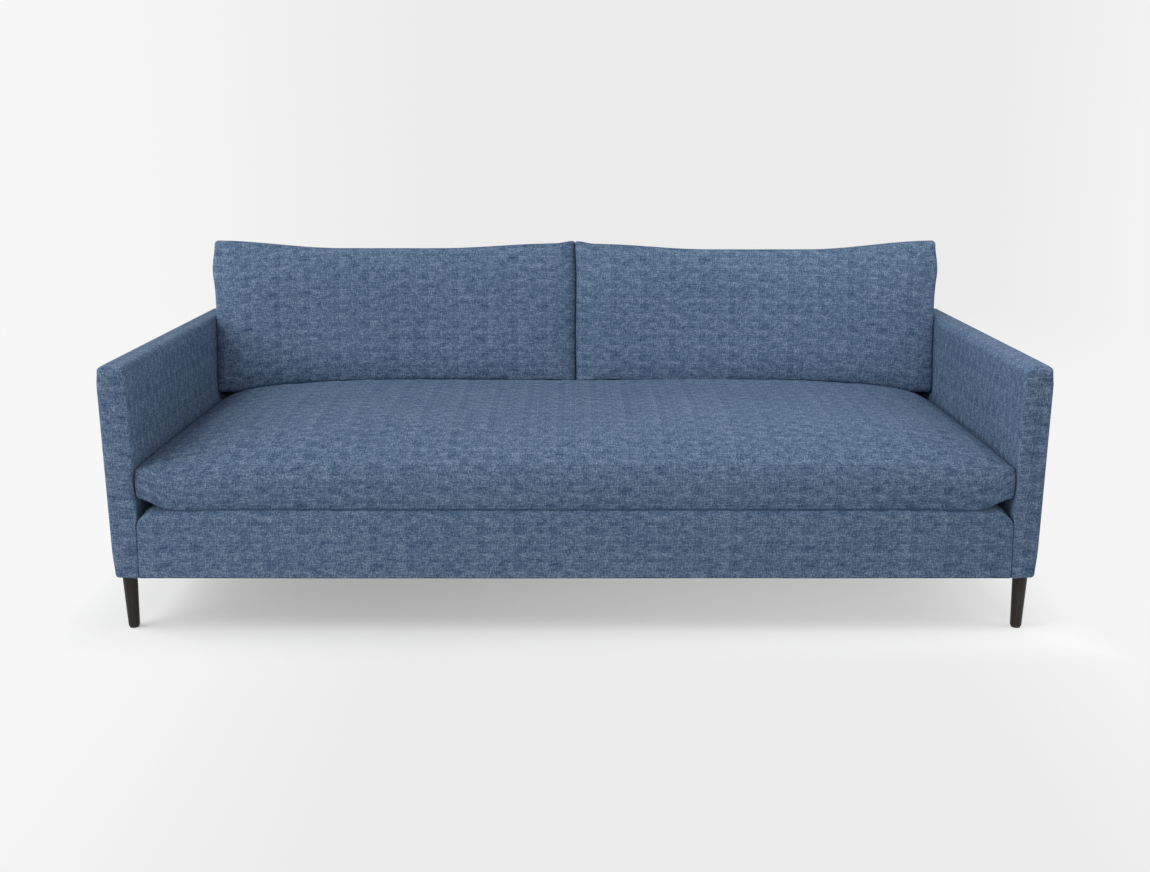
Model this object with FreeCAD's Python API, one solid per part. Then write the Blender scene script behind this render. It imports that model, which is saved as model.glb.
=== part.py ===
"""Four-seat sofa: bench seat cushion, two leaning back cushions, slim track arms and tapered legs.

Sizes are millimetres. X runs across the sofa, Y from the front to the back, Z up from the floor.
The origin lies on the floor under the middle of the sofa. Left is the side of negative X.
"""

import FreeCAD
import Part
import math
import os

V = FreeCAD.Vector
OUT = "parts"

# Overall size
overall_width = 2240.0
overall_depth = 990.0
arm_height = 658.0
leg_height = 140.0
arm_thickness = 66.0

# Upholstery layers and the small gaps between pieces
cover_t = 2.5
arm_pad_t = 8.0
back_pad_t = 15.0
seat_gap = 1.0
skin_gap = 0.4
bolt_gap = 0.1
overrun = 5.0

# Rounded edges of the upholstered arms and back
arm_round = 10.0
back_round = 9.0
border_corner_round = 40.0
border_flare = 14.0
border_overlap = 2.0

# Deck under the seat cushion
deck_z = 313.0
deck_pad_clearance = 0.3
border_return_depth = 90.0
hem_width = 30.0

# Inside back
back_lean_degrees = 8.0
back_base_depth = 109.0
back_cover_low_z = 290.0
back_cover_rear_drop = 40.0
outside_back_top_gap = 12.0
outside_back_inset = 9.0

# Timber sections
rail_t = 28.0
post_depth = 60.0
arm_top_rail_h = 45.0
arm_panel_t = 4.0
rail_top_z = 262.0
inner_arm_hem_rise = 4.0
stretcher_h = 60.0
stretcher_w = 45.0
stretcher_spacing = 516.0
spring_rail_rear_gap = 2.0
back_bottom_rail_h = 80.0
back_top_rail_h = 60.0
upright_w = 40.0
upright_end_gap = 2.0
tacking_rail_low_z = 300.0
tacking_rail_h = 40.0
corner_block_leg = 80.0
corner_block_h = 60.0
corner_block_lift = 5.0

# Dowels and screws of the frame
dowel_r = 5.0
dowel_length = 50.0
dowel_pitch = 40.0
close_dowel_pitch = 24.0
screw_r = 2.2
screw_head_r = 4.4
screw_head_t = 2.6
screw_length = 40.0
screw_seat = 42.0
screw_height_shares = (0.3, 0.7)

# Sinuous seat springs
spring_count = 18
spring_wire_r = 1.9
spring_bar = 24.0
spring_turn_r = 12.0
spring_side_margin = 65.0
clip_t = 1.4
clip_width = 22.0
clip_plate = 12.0
clip_setback = 13.0
tie_wire_r = 1.4
tie_wire_count = 3

# Back webbing
web_t = 1.2
web_width = 50.0
web_gap = 0.3
web_vertical_count = 12
web_horizontal_count = 3
web_row_low_gap = 45.0
web_row_top_gap = 12.5

# Dust cover and its staples
dust_t = 1.0
dust_margin = 28.0
dust_leg_gap = 2.0
staple_length = 11.0
staple_w = 1.2
staple_t = 0.6
staple_pitch = 120.0
staple_edge = 8.0

# Legs
leg_top_r = 18.0
leg_foot_r = 13.5
leg_edge_round = 1.5
leg_inset_x = 26.0
leg_inset_y = 32.0
glide_r = 11.5
glide_t = 4.0
glide_nail_r = 1.2
glide_nail_length = 14.0
bolt_r = 4.0
bolt_in_leg = 34.0
bolt_above_leg = 32.0
insert_r = 6.5
insert_length = 24.0

# Seat cushion
seat_side_gap = 1.0
seat_front_setback = 8.0
seat_front_bulge = 5.0
seat_rear_gap = 4.0
seat_front_seam_z = 424.0
seat_rear_seam_z = 407.0
seat_crown = 70.0
seat_crown_power = 6.0
seat_front_roll = 265.0
seat_rear_roll = 177.0
seat_corner_lift = 32.0
seat_press = 6.0
seat_corner_draw = 9.0
seam_round = 10.0
seam_round_share = 0.3
wrap_t = 20.0
seat_station_shares = (0.0, 0.4, 0.65, 0.8, 0.89, 0.945, 0.98, 1.0)

# Back cushions
back_cushion_low_z = 436.0
back_cushion_height = 436.0
back_cushion_sag = 24.0
back_cushion_edge_t = 128.0
back_cushion_end_t = 108.0
back_cushion_crown = 26.0
back_cushion_gap = 3.0
back_cushion_side_gap = 2.0
back_crown_power = 6.0
back_sag_power = 2.0
back_cushion_round = 12.0
back_station_shares = (-1.0, -0.97, -0.9, -0.78, -0.55, -0.25, 0.0, 0.25, 0.55, 0.78, 0.9, 0.97, 1.0)

# Zips
zip_tape_w = 12.0
zip_tape_t = 0.8
zip_chain_w = 6.0
zip_chain_t = 1.6
zip_share = 0.72
zip_groove_depth = 6.5
zip_groove_w = 34.0
zip_groove_rise = 120.0
zip_groove_share = 0.88
slider_l = 16.0
slider_w = 10.0
slider_t = 2.6
slider_clearance = 0.3
pull_w = 6.0
pull_l = 24.0
pull_t = 1.2
seat_zip_z = 362.0

# Places worked out from the sizes above
half_width = overall_width / 2
inner_half = half_width - arm_thickness
front_y = -overall_depth / 2
rear_y = overall_depth / 2
back_base_y = rear_y - back_base_depth
frame_z = leg_height + cover_t
arm_rear_y = rear_y - cover_t
layer_t = cover_t + arm_pad_t
core_in = inner_half + layer_t
core_out = half_width - layer_t
core_front = front_y + layer_t
core_rear = arm_rear_y - cover_t
core_top = arm_height - layer_t
front_post_rear = core_front + post_depth
rear_post_front = core_rear - post_depth
front_rail_rear = core_front + rail_t
back_bottom_rail_front = core_rear - rail_t
deck_half = inner_half - seat_gap
inner_arm_hem_z = rail_top_z + inner_arm_hem_rise
spring_z = rail_top_z + clip_t + spring_wire_r
clip_bore_r = spring_wire_r + bolt_gap
deck_pad_low_z = spring_z + clip_bore_r + clip_t + deck_pad_clearance
back_lean = math.radians(back_lean_degrees)
stretcher_top = frame_z + stretcher_h
leg_x = half_width - leg_inset_x
front_leg_y = front_y + leg_inset_y
rear_leg_y = rear_y - leg_inset_y
seat_bottom_z = deck_z + skin_gap
back_frame_offset = cover_t + back_pad_t + 2 * web_t + 3 * web_gap


def slope_y(z, offset=0.0):
    """Y of the leaning inside back at height z, with an offset square to its face."""
    return back_base_y + (z - deck_z) * math.tan(back_lean) + offset / math.cos(back_lean)


spring_rail_rear = slope_y(frame_z, back_frame_offset) - spring_rail_rear_gap
spring_rail_front = spring_rail_rear - rail_t
seat_rear_y = slope_y(deck_z) - seat_rear_gap
seat_flat_front_y = front_y + seat_front_roll
seat_flat_rear_y = seat_rear_y - seat_rear_roll


def block(x, y, z):
    """A box from three (low, high) pairs."""
    return Part.makeBox(x[1] - x[0], y[1] - y[0], z[1] - z[0], V(x[0], y[0], z[0]))


def prism_x(points, x):
    """A polygon of (y, z) points, stretched from x[0] to x[1]."""
    wire = Part.makePolygon([V(x[0], y, z) for y, z in points + points[:1]])
    return Part.Face(wire).extrude(V(x[1] - x[0], 0, 0))


def rod(start, end, radius):
    """A round bar between two points."""
    along = end - start
    return Part.makeCylinder(radius, along.Length, start, along)


def mirrored(shape):
    """The same piece on the other side of the sofa."""
    return shape.mirror(V(0, 0, 0), V(1, 0, 0))


def rounded(shape, radius, keep=lambda edge: True):
    """Fillets the edges that keep() picks."""
    return shape.makeFillet(radius, [edge for edge in shape.Edges if keep(edge)])


def save(name, *shapes):
    """Writes one named piece, or a group of like pieces, to its own file."""
    solids = [solid for shape in shapes for solid in shape.Solids]
    bad = [solid for solid in solids if not solid.isValid() or solid.Volume <= 0]
    if bad or not solids:
        raise ValueError(f"{name} has no sound solid")
    made = solids[0] if len(solids) == 1 else Part.makeCompound(solids)
    made.exportStep(os.path.join(OUT, name + ".step"))


def save_pair(name, right):
    """Writes a piece of the right side and its mirror on the left."""
    save(name + "_right", right)
    save(name + "_left", mirrored(right))


# Legs, glides and their bolts

def leg_places():
    """Centres of the four corner legs."""
    return {
        "leg_front_left": (-leg_x, front_leg_y),
        "leg_front_right": (leg_x, front_leg_y),
        "leg_rear_left": (-leg_x, rear_leg_y),
        "leg_rear_right": (leg_x, rear_leg_y),
    }


def leg_solid(x, y, top_z):
    """A turned taper with a bore for its bolt and one for the glide's nail."""
    cone = Part.makeCone(leg_foot_r, leg_top_r, top_z - glide_t, V(x, y, glide_t))
    low = [edge for edge in cone.Edges if edge.BoundBox.ZMax < glide_t + overrun]
    leg = cone.makeFillet(leg_edge_round, [edge for edge in low if edge.Closed])
    leg = leg.cut(rod(V(x, y, top_z - bolt_in_leg), V(x, y, top_z + overrun), bolt_r + bolt_gap))
    nail_top = glide_t + glide_nail_length
    return leg.cut(rod(V(x, y, -overrun), V(x, y, nail_top), glide_nail_r + bolt_gap))


def glide_solid(x, y):
    """A plastic disc with the nail that holds it in the foot."""
    disc = rod(V(x, y, 0), V(x, y, glide_t), glide_r)
    return disc.fuse(rod(V(x, y, 0), V(x, y, glide_t + glide_nail_length - bolt_gap), glide_nail_r))


def bolt_solid(x, y, top_z):
    """A hanger bolt, half in the leg and half in the frame above it."""
    low = V(x, y, top_z - bolt_in_leg + bolt_gap)
    return rod(low, V(x, y, top_z + bolt_above_leg), bolt_r)


def insert_solid(x, y, low_z):
    """The threaded sleeve that takes the hanger bolt."""
    sleeve = rod(V(x, y, low_z), V(x, y, low_z + insert_length), insert_r)
    return sleeve.cut(rod(V(x, y, low_z - overrun), V(x, y, low_z + insert_length + overrun),
                          bolt_r + bolt_gap))


def leg_bore(x, y):
    """The hole in the frame for the threaded sleeve and the bolt above it."""
    wide = rod(V(x, y, frame_z - overrun), V(x, y, frame_z + insert_length), insert_r + bolt_gap)
    deep = V(x, y, leg_height + bolt_above_leg + overrun)
    return wide.fuse(rod(V(x, y, frame_z - overrun), deep, bolt_r + bolt_gap))


def make_legs():
    places = leg_places()
    for name, (x, y) in places.items():
        save(name, leg_solid(x, y, leg_height))
    save("centre_leg", leg_solid(0, 0, frame_z))
    spots = [(x, y, leg_height) for x, y in places.values()] + [(0, 0, frame_z)]
    save("leg_glides", *[glide_solid(x, y) for x, y, _ in spots])
    save("leg_bolts", *[bolt_solid(x, y, z) for x, y, z in spots])
    save("leg_inserts", *[insert_solid(x, y, frame_z) for x, y, _ in spots])


# Timber frame

def dowel_rows():
    """For each rail that meets an arm: the y of its dowels and their two heights."""
    front_mid = (frame_z + rail_top_z) / 2
    spring_mid = (stretcher_top + inner_arm_hem_z) / 2
    low_mid = frame_z + back_bottom_rail_h / 2
    top_mid = core_top - back_top_rail_h / 2
    spring_y = (spring_rail_front + spring_rail_rear) / 2
    rear_y_mid = core_rear - rail_t / 2
    return (
        (core_front + rail_t / 2, (front_mid - dowel_pitch / 2, front_mid + dowel_pitch / 2)),
        (spring_y, (spring_mid - close_dowel_pitch / 2, spring_mid + close_dowel_pitch / 2)),
        (rear_y_mid, (low_mid - dowel_pitch / 2, low_mid + dowel_pitch / 2)),
        (rear_y_mid, (top_mid - close_dowel_pitch / 2, top_mid + close_dowel_pitch / 2)),
    )


def dowels(side, grow=0.0):
    """All dowels of one side; side is 1 on the right and -1 on the left."""
    reach = dowel_length / 2 + grow
    return [
        rod(V(side * (core_in - reach), y, z), V(side * (core_in + reach), y, z), dowel_r + grow)
        for y, heights in dowel_rows() for z in heights
    ]


def drilled(shape, holes):
    """The piece with its holes cut."""
    return shape.cut(Part.makeCompound(holes))


def dowel_holes():
    return dowels(1, bolt_gap) + dowels(-1, bolt_gap)


def make_arm_timber():
    core_x = (core_in, core_out)
    bores = [leg_bore(leg_x, front_leg_y), leg_bore(leg_x, rear_leg_y)]
    holes = dowels(1, bolt_gap) + bores
    front_post = block(core_x, (core_front, front_post_rear), (frame_z, core_top))
    rear_post = block(core_x, (rear_post_front, core_rear), (frame_z, core_top))
    between = (front_post_rear, rear_post_front)
    low_rail = block(core_x, between, (frame_z, inner_arm_hem_z))
    top_rail = block(core_x, between, (core_top - arm_top_rail_h, core_top))
    panel_z = (inner_arm_hem_z, core_top - arm_top_rail_h)
    inner_panel = block((core_in, core_in + arm_panel_t), between, panel_z)
    outer_panel = block((core_out - arm_panel_t, core_out), between, panel_z)
    save_pair("arm_front_post", drilled(front_post, holes))
    save_pair("arm_rear_post", drilled(rear_post, holes))
    save_pair("arm_bottom_rail", drilled(low_rail, holes))
    save_pair("arm_top_rail", top_rail)
    save("arm_panels_right", inner_panel, outer_panel)
    save("arm_panels_left", mirrored(inner_panel), mirrored(outer_panel))


def upright_centres():
    """X of the uprights of the back frame, the outer two close to the arms."""
    end = inner_half - upright_end_gap - upright_w / 2
    inner = [k * stretcher_spacing for k in (-1, 0, 1)]
    return [-end] + inner + [end]


def sloped_board(x, low_z, high_z):
    """A board of the back frame whose front edge follows the lean of the back."""
    points = [
        (slope_y(low_z, back_frame_offset), low_z),
        (slope_y(high_z, back_frame_offset), high_z),
        (core_rear, high_z),
        (core_rear, low_z),
    ]
    return prism_x(points, x)


def corner_block(front):
    """A glued block in the corner between an arm and the front or the spring rail."""
    y = front_rail_rear if front else spring_rail_front
    step = corner_block_leg if front else -corner_block_leg
    low = frame_z + corner_block_lift if front else stretcher_top
    points = [V(core_in, y, low), V(core_in - corner_block_leg, y, low), V(core_in, y + step, low)]
    face = Part.Face(Part.makePolygon(points + points[:1]))
    return face.extrude(V(0, 0, corner_block_h))


def block_screws(front, grow=0.0):
    """Two screws through a corner block, square to the rail behind it."""
    y = front_rail_rear if front else spring_rail_front
    out = 1 if front else -1
    low = frame_z + corner_block_lift if front else stretcher_top
    x = core_in - screw_seat
    made = []
    for share in screw_height_shares:
        z = low + corner_block_h * share
        head = V(x, y + out * (corner_block_leg - screw_seat), z)
        tip = head - V(0, out * (screw_length + grow), 0)
        shank = rod(head, tip, screw_r + grow)
        cap = rod(head, head + V(0, out * (screw_head_t + grow), 0), screw_head_r + grow)
        made.append(shank.fuse(cap))
    return made


def all_screws(grow=0.0):
    right = block_screws(True, grow) + block_screws(False, grow)
    return right + [mirrored(screw) for screw in right]


def make_seat_frame():
    span = (-core_in, core_in)
    holes = dowel_holes()
    screws = all_screws(bolt_gap)
    front = block(span, (core_front, front_rail_rear), (frame_z, rail_top_z))
    spring = block(span, (spring_rail_front, spring_rail_rear), (stretcher_top, rail_top_z))
    low = block(span, (back_bottom_rail_front, core_rear), (frame_z, frame_z + back_bottom_rail_h))
    stretchers = [
        block((x - stretcher_w / 2, x + stretcher_w / 2), (front_rail_rear, back_bottom_rail_front),
              (frame_z, stretcher_top))
        for x in (-stretcher_spacing, 0, stretcher_spacing)
    ]
    blocks = [corner_block(True), corner_block(False)]
    blocks += [mirrored(shape) for shape in blocks]
    save("seat_front_rail", drilled(front, holes + screws))
    save("seat_spring_rail", drilled(spring, holes + screws))
    save("back_bottom_rail", drilled(low, holes))
    save("seat_stretchers", *[drilled(board, [leg_bore(0, 0)]) for board in stretchers])
    save("corner_blocks", *[drilled(shape, screws) for shape in blocks])
    save("frame_screws", *all_screws())
    save("frame_dowels", *(dowels(1) + dowels(-1)))


def make_back_frame():
    centres = upright_centres()
    top = sloped_board((-core_in, core_in), core_top - back_top_rail_h, core_top)
    bottom_rail = block((-core_in, core_in), (back_bottom_rail_front, core_rear + overrun),
                        (frame_z, frame_z + back_bottom_rail_h))
    uprights = [
        sloped_board((x - upright_w / 2, x + upright_w / 2), stretcher_top, core_top - back_top_rail_h)
        .cut(bottom_rail)
        for x in centres
    ]
    bays = zip(centres[:-1], centres[1:])
    tacking = [
        sloped_board((a + upright_w / 2, b - upright_w / 2), tacking_rail_low_z,
                     tacking_rail_low_z + tacking_rail_h)
        for a, b in bays
    ]
    rail_back = block((-core_in, core_in), (slope_y(core_top, back_frame_offset), core_rear + overrun),
                      (tacking_rail_low_z - overrun, tacking_rail_low_z + tacking_rail_h + overrun))
    save("back_top_rail", drilled(top, dowel_holes()))
    save("back_uprights", *uprights)
    save("back_tacking_rails", *[board.cut(rail_back) for board in tacking])


# Springs and webbing

def spring_centres():
    span = 2 * (inner_half - spring_side_margin)
    return [-span / 2 + span * k / (spring_count - 1) for k in range(spring_count)]


def spring_ends():
    """Y of a spring's first and last bar, both held in clips."""
    return front_rail_rear - clip_setback, spring_rail_front + clip_setback


def spring_path(x):
    """One flat zigzag of bars joined by half turns."""
    start, end = spring_ends()
    bars = 2 * round((end - start) / (2 * 2 * spring_turn_r))
    turn = (end - start) / (2 * bars)
    edges = []
    for k in range(bars + 1):
        y = start + 2 * turn * k
        side = 1 if k % 2 == 0 else -1
        a = V(x - side * spring_bar / 2, y, spring_z)
        b = V(x + side * spring_bar / 2, y, spring_z)
        edges.append(Part.LineSegment(a, b).toShape())
        if k < bars:
            middle = V(x + side * (spring_bar / 2 + turn), y + turn, spring_z)
            far = V(x + side * spring_bar / 2, y + 2 * turn, spring_z)
            edges.append(Part.Arc(b, middle, far).toShape())
    return Part.Wire(edges)


def spring_solid(x):
    path = spring_path(x)
    start, _ = spring_ends()
    ring = Part.makeCircle(spring_wire_r, V(x - spring_bar / 2, start, spring_z), V(1, 0, 0))
    return path.makePipeShell([Part.Wire(ring)], True, False)


def clip_solid(x, y, out):
    """A bent steel clip on a rail: its plate lies on the wood and its curl holds the end bar."""
    inner = clip_bore_r
    outer = inner + clip_t
    half = clip_width / 2
    left = x - half
    curl = rod(V(left, y, spring_z), V(left + clip_width, y, spring_z), outer)
    curl = curl.cut(rod(V(left - overrun, y, spring_z), V(left + clip_width + overrun, y, spring_z),
                        inner))
    plate_y = sorted((y, y + out * clip_plate))
    plate = block((left, left + clip_width), plate_y, (rail_top_z, rail_top_z + clip_t - bolt_gap))
    shape = curl.fuse(plate).cut(block((left - overrun, left + clip_width + overrun),
                                       (y - outer - overrun, y + outer + overrun),
                                       (rail_top_z - overrun, rail_top_z)))
    mouth = sorted((y, y - out * (outer + overrun)))
    return shape.cut(block((left - overrun, left + clip_width + overrun), mouth,
                           (spring_z - inner / 2, spring_z + inner / 2)))


def make_springs():
    centres = spring_centres()
    first = spring_solid(centres[0])
    springs = [first] + [first.translated(V(x - centres[0], 0, 0)) for x in centres[1:]]
    save("seat_springs", *springs)
    front, rear = spring_ends()
    save("spring_clips", *([clip_solid(x, front, -1) for x in centres] +
                           [clip_solid(x, rear, 1) for x in centres]))
    z = spring_z - spring_wire_r - tie_wire_r - bolt_gap
    steps = [(k + 1) / (tie_wire_count + 1) for k in range(tie_wire_count)]
    wires = [rod(V(-core_in, front + (rear - front) * s, z), V(core_in, front + (rear - front) * s, z),
                 tie_wire_r) for s in steps]
    save("spring_tie_wires", *wires)


def make_webbing():
    """Straps on the leaning face of the back frame: rows first, uprights laid over them."""
    near = cover_t + back_pad_t + web_gap
    far = near + web_t + web_gap
    low_z = tacking_rail_low_z
    top_z = core_top - back_top_rail_h / 2

    def strap(x, z, offset):
        points = [(slope_y(z[0], offset), z[0]), (slope_y(z[1], offset), z[1]),
                  (slope_y(z[1], offset + web_t), z[1]), (slope_y(z[0], offset + web_t), z[0])]
        return prism_x(points, x)

    reach = inner_half - upright_end_gap
    low_row = tacking_rail_low_z + tacking_rail_h + web_row_low_gap
    row_pitch = (top_z - web_row_top_gap - web_width - low_row) / (web_horizontal_count - 1)
    rows = [low_row + row_pitch * k for k in range(web_horizontal_count)]
    save("back_webbing_rows", *[strap((-reach, reach), (z, z + web_width), far) for z in rows])
    span = 2 * (reach - web_width)
    columns = [-span / 2 + span * k / (web_vertical_count - 1) for k in range(web_vertical_count)]
    save("back_webbing_columns",
         *[strap((x - web_width / 2, x + web_width / 2), (low_z, top_z), near) for x in columns])


# Arms

def arm_form(inset):
    """The upholstered arm as one rounded block, taken in by inset on every side."""
    shape = block((inner_half + inset, half_width - inset), (front_y + inset, arm_rear_y - inset),
                  (leg_height + inset, arm_height - inset))
    return rounded(shape, arm_round - inset, lambda edge: edge.BoundBox.YMin < core_rear - arm_round)


def border_outline(inset, y):
    """The front border: flared to the floor side, with its top corners rounded down to the arms."""
    low_half = inner_half + border_flare - inset
    top_half = inner_half + border_overlap - inset
    low, high = leg_height + inset, deck_z - inset
    radius = border_corner_round - inset
    face = face_xz([V(-low_half, y[0], low), V(low_half, y[0], low),
                    V(top_half, y[0], high), V(-top_half, y[0], high)])
    solid = face.extrude(V(0, y[1] - y[0], 0))
    middle = (low + high) / 2
    return rounded(solid, radius, lambda edge: edge.BoundBox.ZMin > middle and
                   edge.BoundBox.XLength < overrun and edge.BoundBox.YLength > (y[1] - y[0]) / 2)


def face_xz(points):
    return Part.Face(Part.makePolygon(points + points[:1]))


def arm_opening():
    """The part of the inner arm left open for the rails: below the hem and behind the back's face."""
    behind = back_frame_offset - skin_gap
    low = leg_height - overrun
    points = [(core_front, low), (core_front, inner_arm_hem_z),
              (slope_y(inner_arm_hem_z, behind), inner_arm_hem_z),
              (slope_y(core_top, behind), core_top), (core_rear, core_top), (core_rear, low)]
    return prism_x(points, (inner_half - overrun, core_in))


def make_arms():
    opening = arm_opening()
    border = border_outline(-skin_gap / 2, (front_y - overrun, core_front))
    bores = [rod(V(leg_x, y, leg_height - overrun), V(leg_x, y, frame_z + overrun), bolt_r + skin_gap)
             for y in (front_leg_y, rear_leg_y)]
    timber = block((core_in, core_out), (core_front, core_rear), (frame_z, core_top))
    inside = arm_form(cover_t)
    cover = arm_form(0.0).cut(inside).cut(opening).cut(border)
    pad = inside.cut(timber).cut(opening).cut(border)
    save_pair("arm_cover", drilled(cover, bores))
    save_pair("arm_pad", pad)


# Deck and front border

def deck_outline(inset, y):
    """The deck's cross-section: flat on top, rounded down beside the arms."""
    half = deck_half - inset
    low, high = inner_arm_hem_z, deck_z - inset
    face = face_xz([V(-half, y[0], low), V(half, y[0], low), V(half, y[0], high), V(-half, y[0], high)])
    solid = face.extrude(V(0, y[1] - y[0], 0))
    radius = border_corner_round - inset
    return rounded(solid, radius, lambda edge: edge.BoundBox.ZMin > high - radius / 2 and
                   edge.BoundBox.XLength < overrun)


def make_deck():
    join_y = front_y + border_return_depth
    back_y = slope_y(back_cover_low_z) - skin_gap
    front_plate_y = (front_y, front_y + cover_t)
    plate = border_outline(0.0, front_plate_y)
    roll = deck_outline(0.0, (front_y + cover_t, join_y)).cut(
        deck_outline(cover_t, (front_y, join_y + overrun)))
    hem = block((-inner_half, inner_half), (front_y + cover_t, front_y + hem_width),
                (leg_height, frame_z))
    cover = plate.fuse(roll).fuse(hem)
    pad = border_outline(cover_t, (front_y + cover_t, core_front))
    rim = deck_outline(0.0, (front_y + cover_t, core_front + overrun)).cut(
        deck_outline(cover_t, (front_y, core_front + overrun)))
    save("front_border_cover", cover.removeSplitter())
    save("front_border_pad", pad.cut(rim))
    deck = deck_outline(0.0, (join_y, back_y)).cut(deck_outline(cover_t, (front_y, rear_y)))
    save("deck_cover", deck)
    above = block((-half_width, half_width), (front_y, rear_y), (deck_pad_low_z, arm_height))
    inside = deck_outline(cover_t, (core_front, back_y))
    save("deck_pad", inside.common(above))


# Back upholstery

def back_form(inset, low_z):
    """The wrapped back as a solid, with its two top edges rounded."""
    top = arm_height - inset
    rear = arm_rear_y - inset
    points = [(slope_y(low_z, inset), low_z), (slope_y(top, inset), top), (rear, top), (rear, low_z)]
    shape = prism_x(points, (-deck_half, deck_half))
    return rounded(shape, back_round - inset, lambda edge: edge.BoundBox.XLength > deck_half and
                   edge.BoundBox.ZMin > arm_height - back_round)


def make_back_upholstery():
    rear_low = arm_height - back_cover_rear_drop
    outer = back_form(0.0, back_cover_low_z)
    inner = back_form(cover_t, back_cover_low_z - overrun)
    rear_cut = block((-half_width, half_width), (slope_y(arm_height) + back_round, rear_y),
                     (back_cover_low_z - overrun, rear_low))
    cover = outer.cut(inner).cut(rear_cut)
    save("inside_back_cover", cover)
    behind = [(slope_y(frame_z, cover_t + back_pad_t), frame_z),
              (slope_y(core_top, cover_t + back_pad_t), core_top), (rear_y, core_top), (rear_y, frame_z)]
    timber = prism_x(behind, (-half_width, half_width))
    low_cut = block((-half_width, half_width), (front_y, rear_y),
                    (frame_z - overrun, back_cover_low_z))
    save("back_pad", inner.cut(timber).cut(low_cut))
    panel = block((-half_width + outside_back_inset, half_width - outside_back_inset),
                  (arm_rear_y, rear_y), (leg_height, arm_height - outside_back_top_gap))
    save("outside_back_cover", rounded(panel, cover_t / 2, lambda edge: edge.BoundBox.YMin > arm_rear_y
                                       and edge.BoundBox.YLength < cover_t / 2))


# Underside

def make_dust_cover():
    half = inner_half - dust_margin
    y = (front_y + hem_width / 2, core_rear - dust_margin)
    sheet = block((-half, half), y, (leg_height - dust_t, leg_height))
    hole = rod(V(0, 0, leg_height - dust_t - overrun), V(0, 0, frame_z), leg_top_r + dust_leg_gap)
    save("dust_cover", sheet.cut(hole))
    z = (leg_height - dust_t - staple_t, leg_height - dust_t)
    along = int(2 * half / staple_pitch)
    across = int((y[1] - y[0]) / staple_pitch)
    staples = []
    for k in range(along):
        x = -half + half * (2 * k + 1) / along
        for edge_y in (y[0] + staple_edge, y[1] - staple_edge):
            staples.append(block((x - staple_length / 2, x + staple_length / 2),
                                 (edge_y - staple_w / 2, edge_y + staple_w / 2), z))
    for k in range(across):
        middle = y[0] + (y[1] - y[0]) * (2 * k + 1) / (2 * across)
        for x in (-half + staple_edge, half - staple_edge):
            staples.append(block((x - staple_w / 2, x + staple_w / 2),
                                 (middle - staple_length / 2, middle + staple_length / 2), z))
    save("dust_cover_staples", *staples)


# Seat cushion

def level_arc_middle(level, end):
    """Middle of the arc that leaves the point level flat and comes down to the point end, at one x."""
    run, drop = end.y - level.y, level.z - end.z
    radius = (run * run + drop * drop) / (2 * drop)
    angle = math.asin(abs(run) / radius) / 2
    side = math.copysign(radius, run)
    return V(level.x, level.y + side * math.sin(angle), level.z - radius + radius * math.cos(angle))


def line(a, b):
    return Part.LineSegment(a, b).toShape()


def arc(a, middle, b):
    return Part.Arc(a, middle, b).toShape()


def corner(a, tip, b):
    """An arc from a to b that rounds the corner at tip."""
    chord = (a + b) / 2
    bow_share = math.tan(math.pi / 8) * math.sqrt(2)
    return arc(a, chord + (tip - chord) * bow_share, b)


def crown_share(share, power):
    """How much of the crown is left at this share of the way out to the edge."""
    return math.sqrt(1 - abs(share) ** power)


def seat_section(x, share, inset):
    """Closed outline of the seat cushion at x: bulging front, crowned top, and a base that hangs
    seat_press below the deck, before the deck flattens it."""
    left_share = crown_share(share, seat_crown_power)
    lost_share = 1 - left_share
    low = seat_bottom_z + inset + seat_corner_lift * lost_share - seat_press
    front = front_y + seat_front_setback + inset + seat_corner_draw * lost_share
    rear = seat_rear_y - inset
    front_top = seat_front_seam_z - inset
    rear_top = seat_rear_seam_z - inset
    r = min(seam_round, (rear_top - low) * seam_round_share)
    top = front_top + max(seat_crown * left_share, cover_t)
    fb, ft = V(x, front, low + r), V(x, front, front_top - r)
    fb2, ft2 = V(x, front + r, low), V(x, front + r, front_top)
    rb, rt = V(x, rear, low + r), V(x, rear, rear_top - r)
    rb2, rt2 = V(x, rear - r, low), V(x, rear - r, rear_top)
    top_front, top_rear = V(x, seat_flat_front_y, top), V(x, seat_flat_rear_y, top)
    bulge = V(x, front - seat_front_bulge, (fb.z + ft.z) / 2)
    return Part.Wire([
        line(fb2, rb2), corner(rb2, V(x, rear, low), rb), line(rb, rt),
        corner(rt, V(x, rear, rear_top), rt2), arc(rt2, level_arc_middle(top_rear, rt2), top_rear),
        line(top_rear, top_front), arc(top_front, level_arc_middle(top_front, ft2), ft2),
        corner(ft2, V(x, front, front_top), ft), arc(ft, bulge, fb),
        corner(fb, V(x, front, low), fb2),
    ])


def seat_form(inset):
    """The whole seat cushion, taken in by inset on every side and flattened by the deck."""
    half = inner_half - seat_side_gap - inset
    shares = [-s for s in reversed(seat_station_shares[1:])] + list(seat_station_shares)
    shape = Part.makeLoft([seat_section(half * s, s, inset) for s in shares], True, False)
    under = block((-half_width, half_width), (front_y - overrun, rear_y), (0, seat_bottom_z + inset))
    return shape.cut(under)


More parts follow.
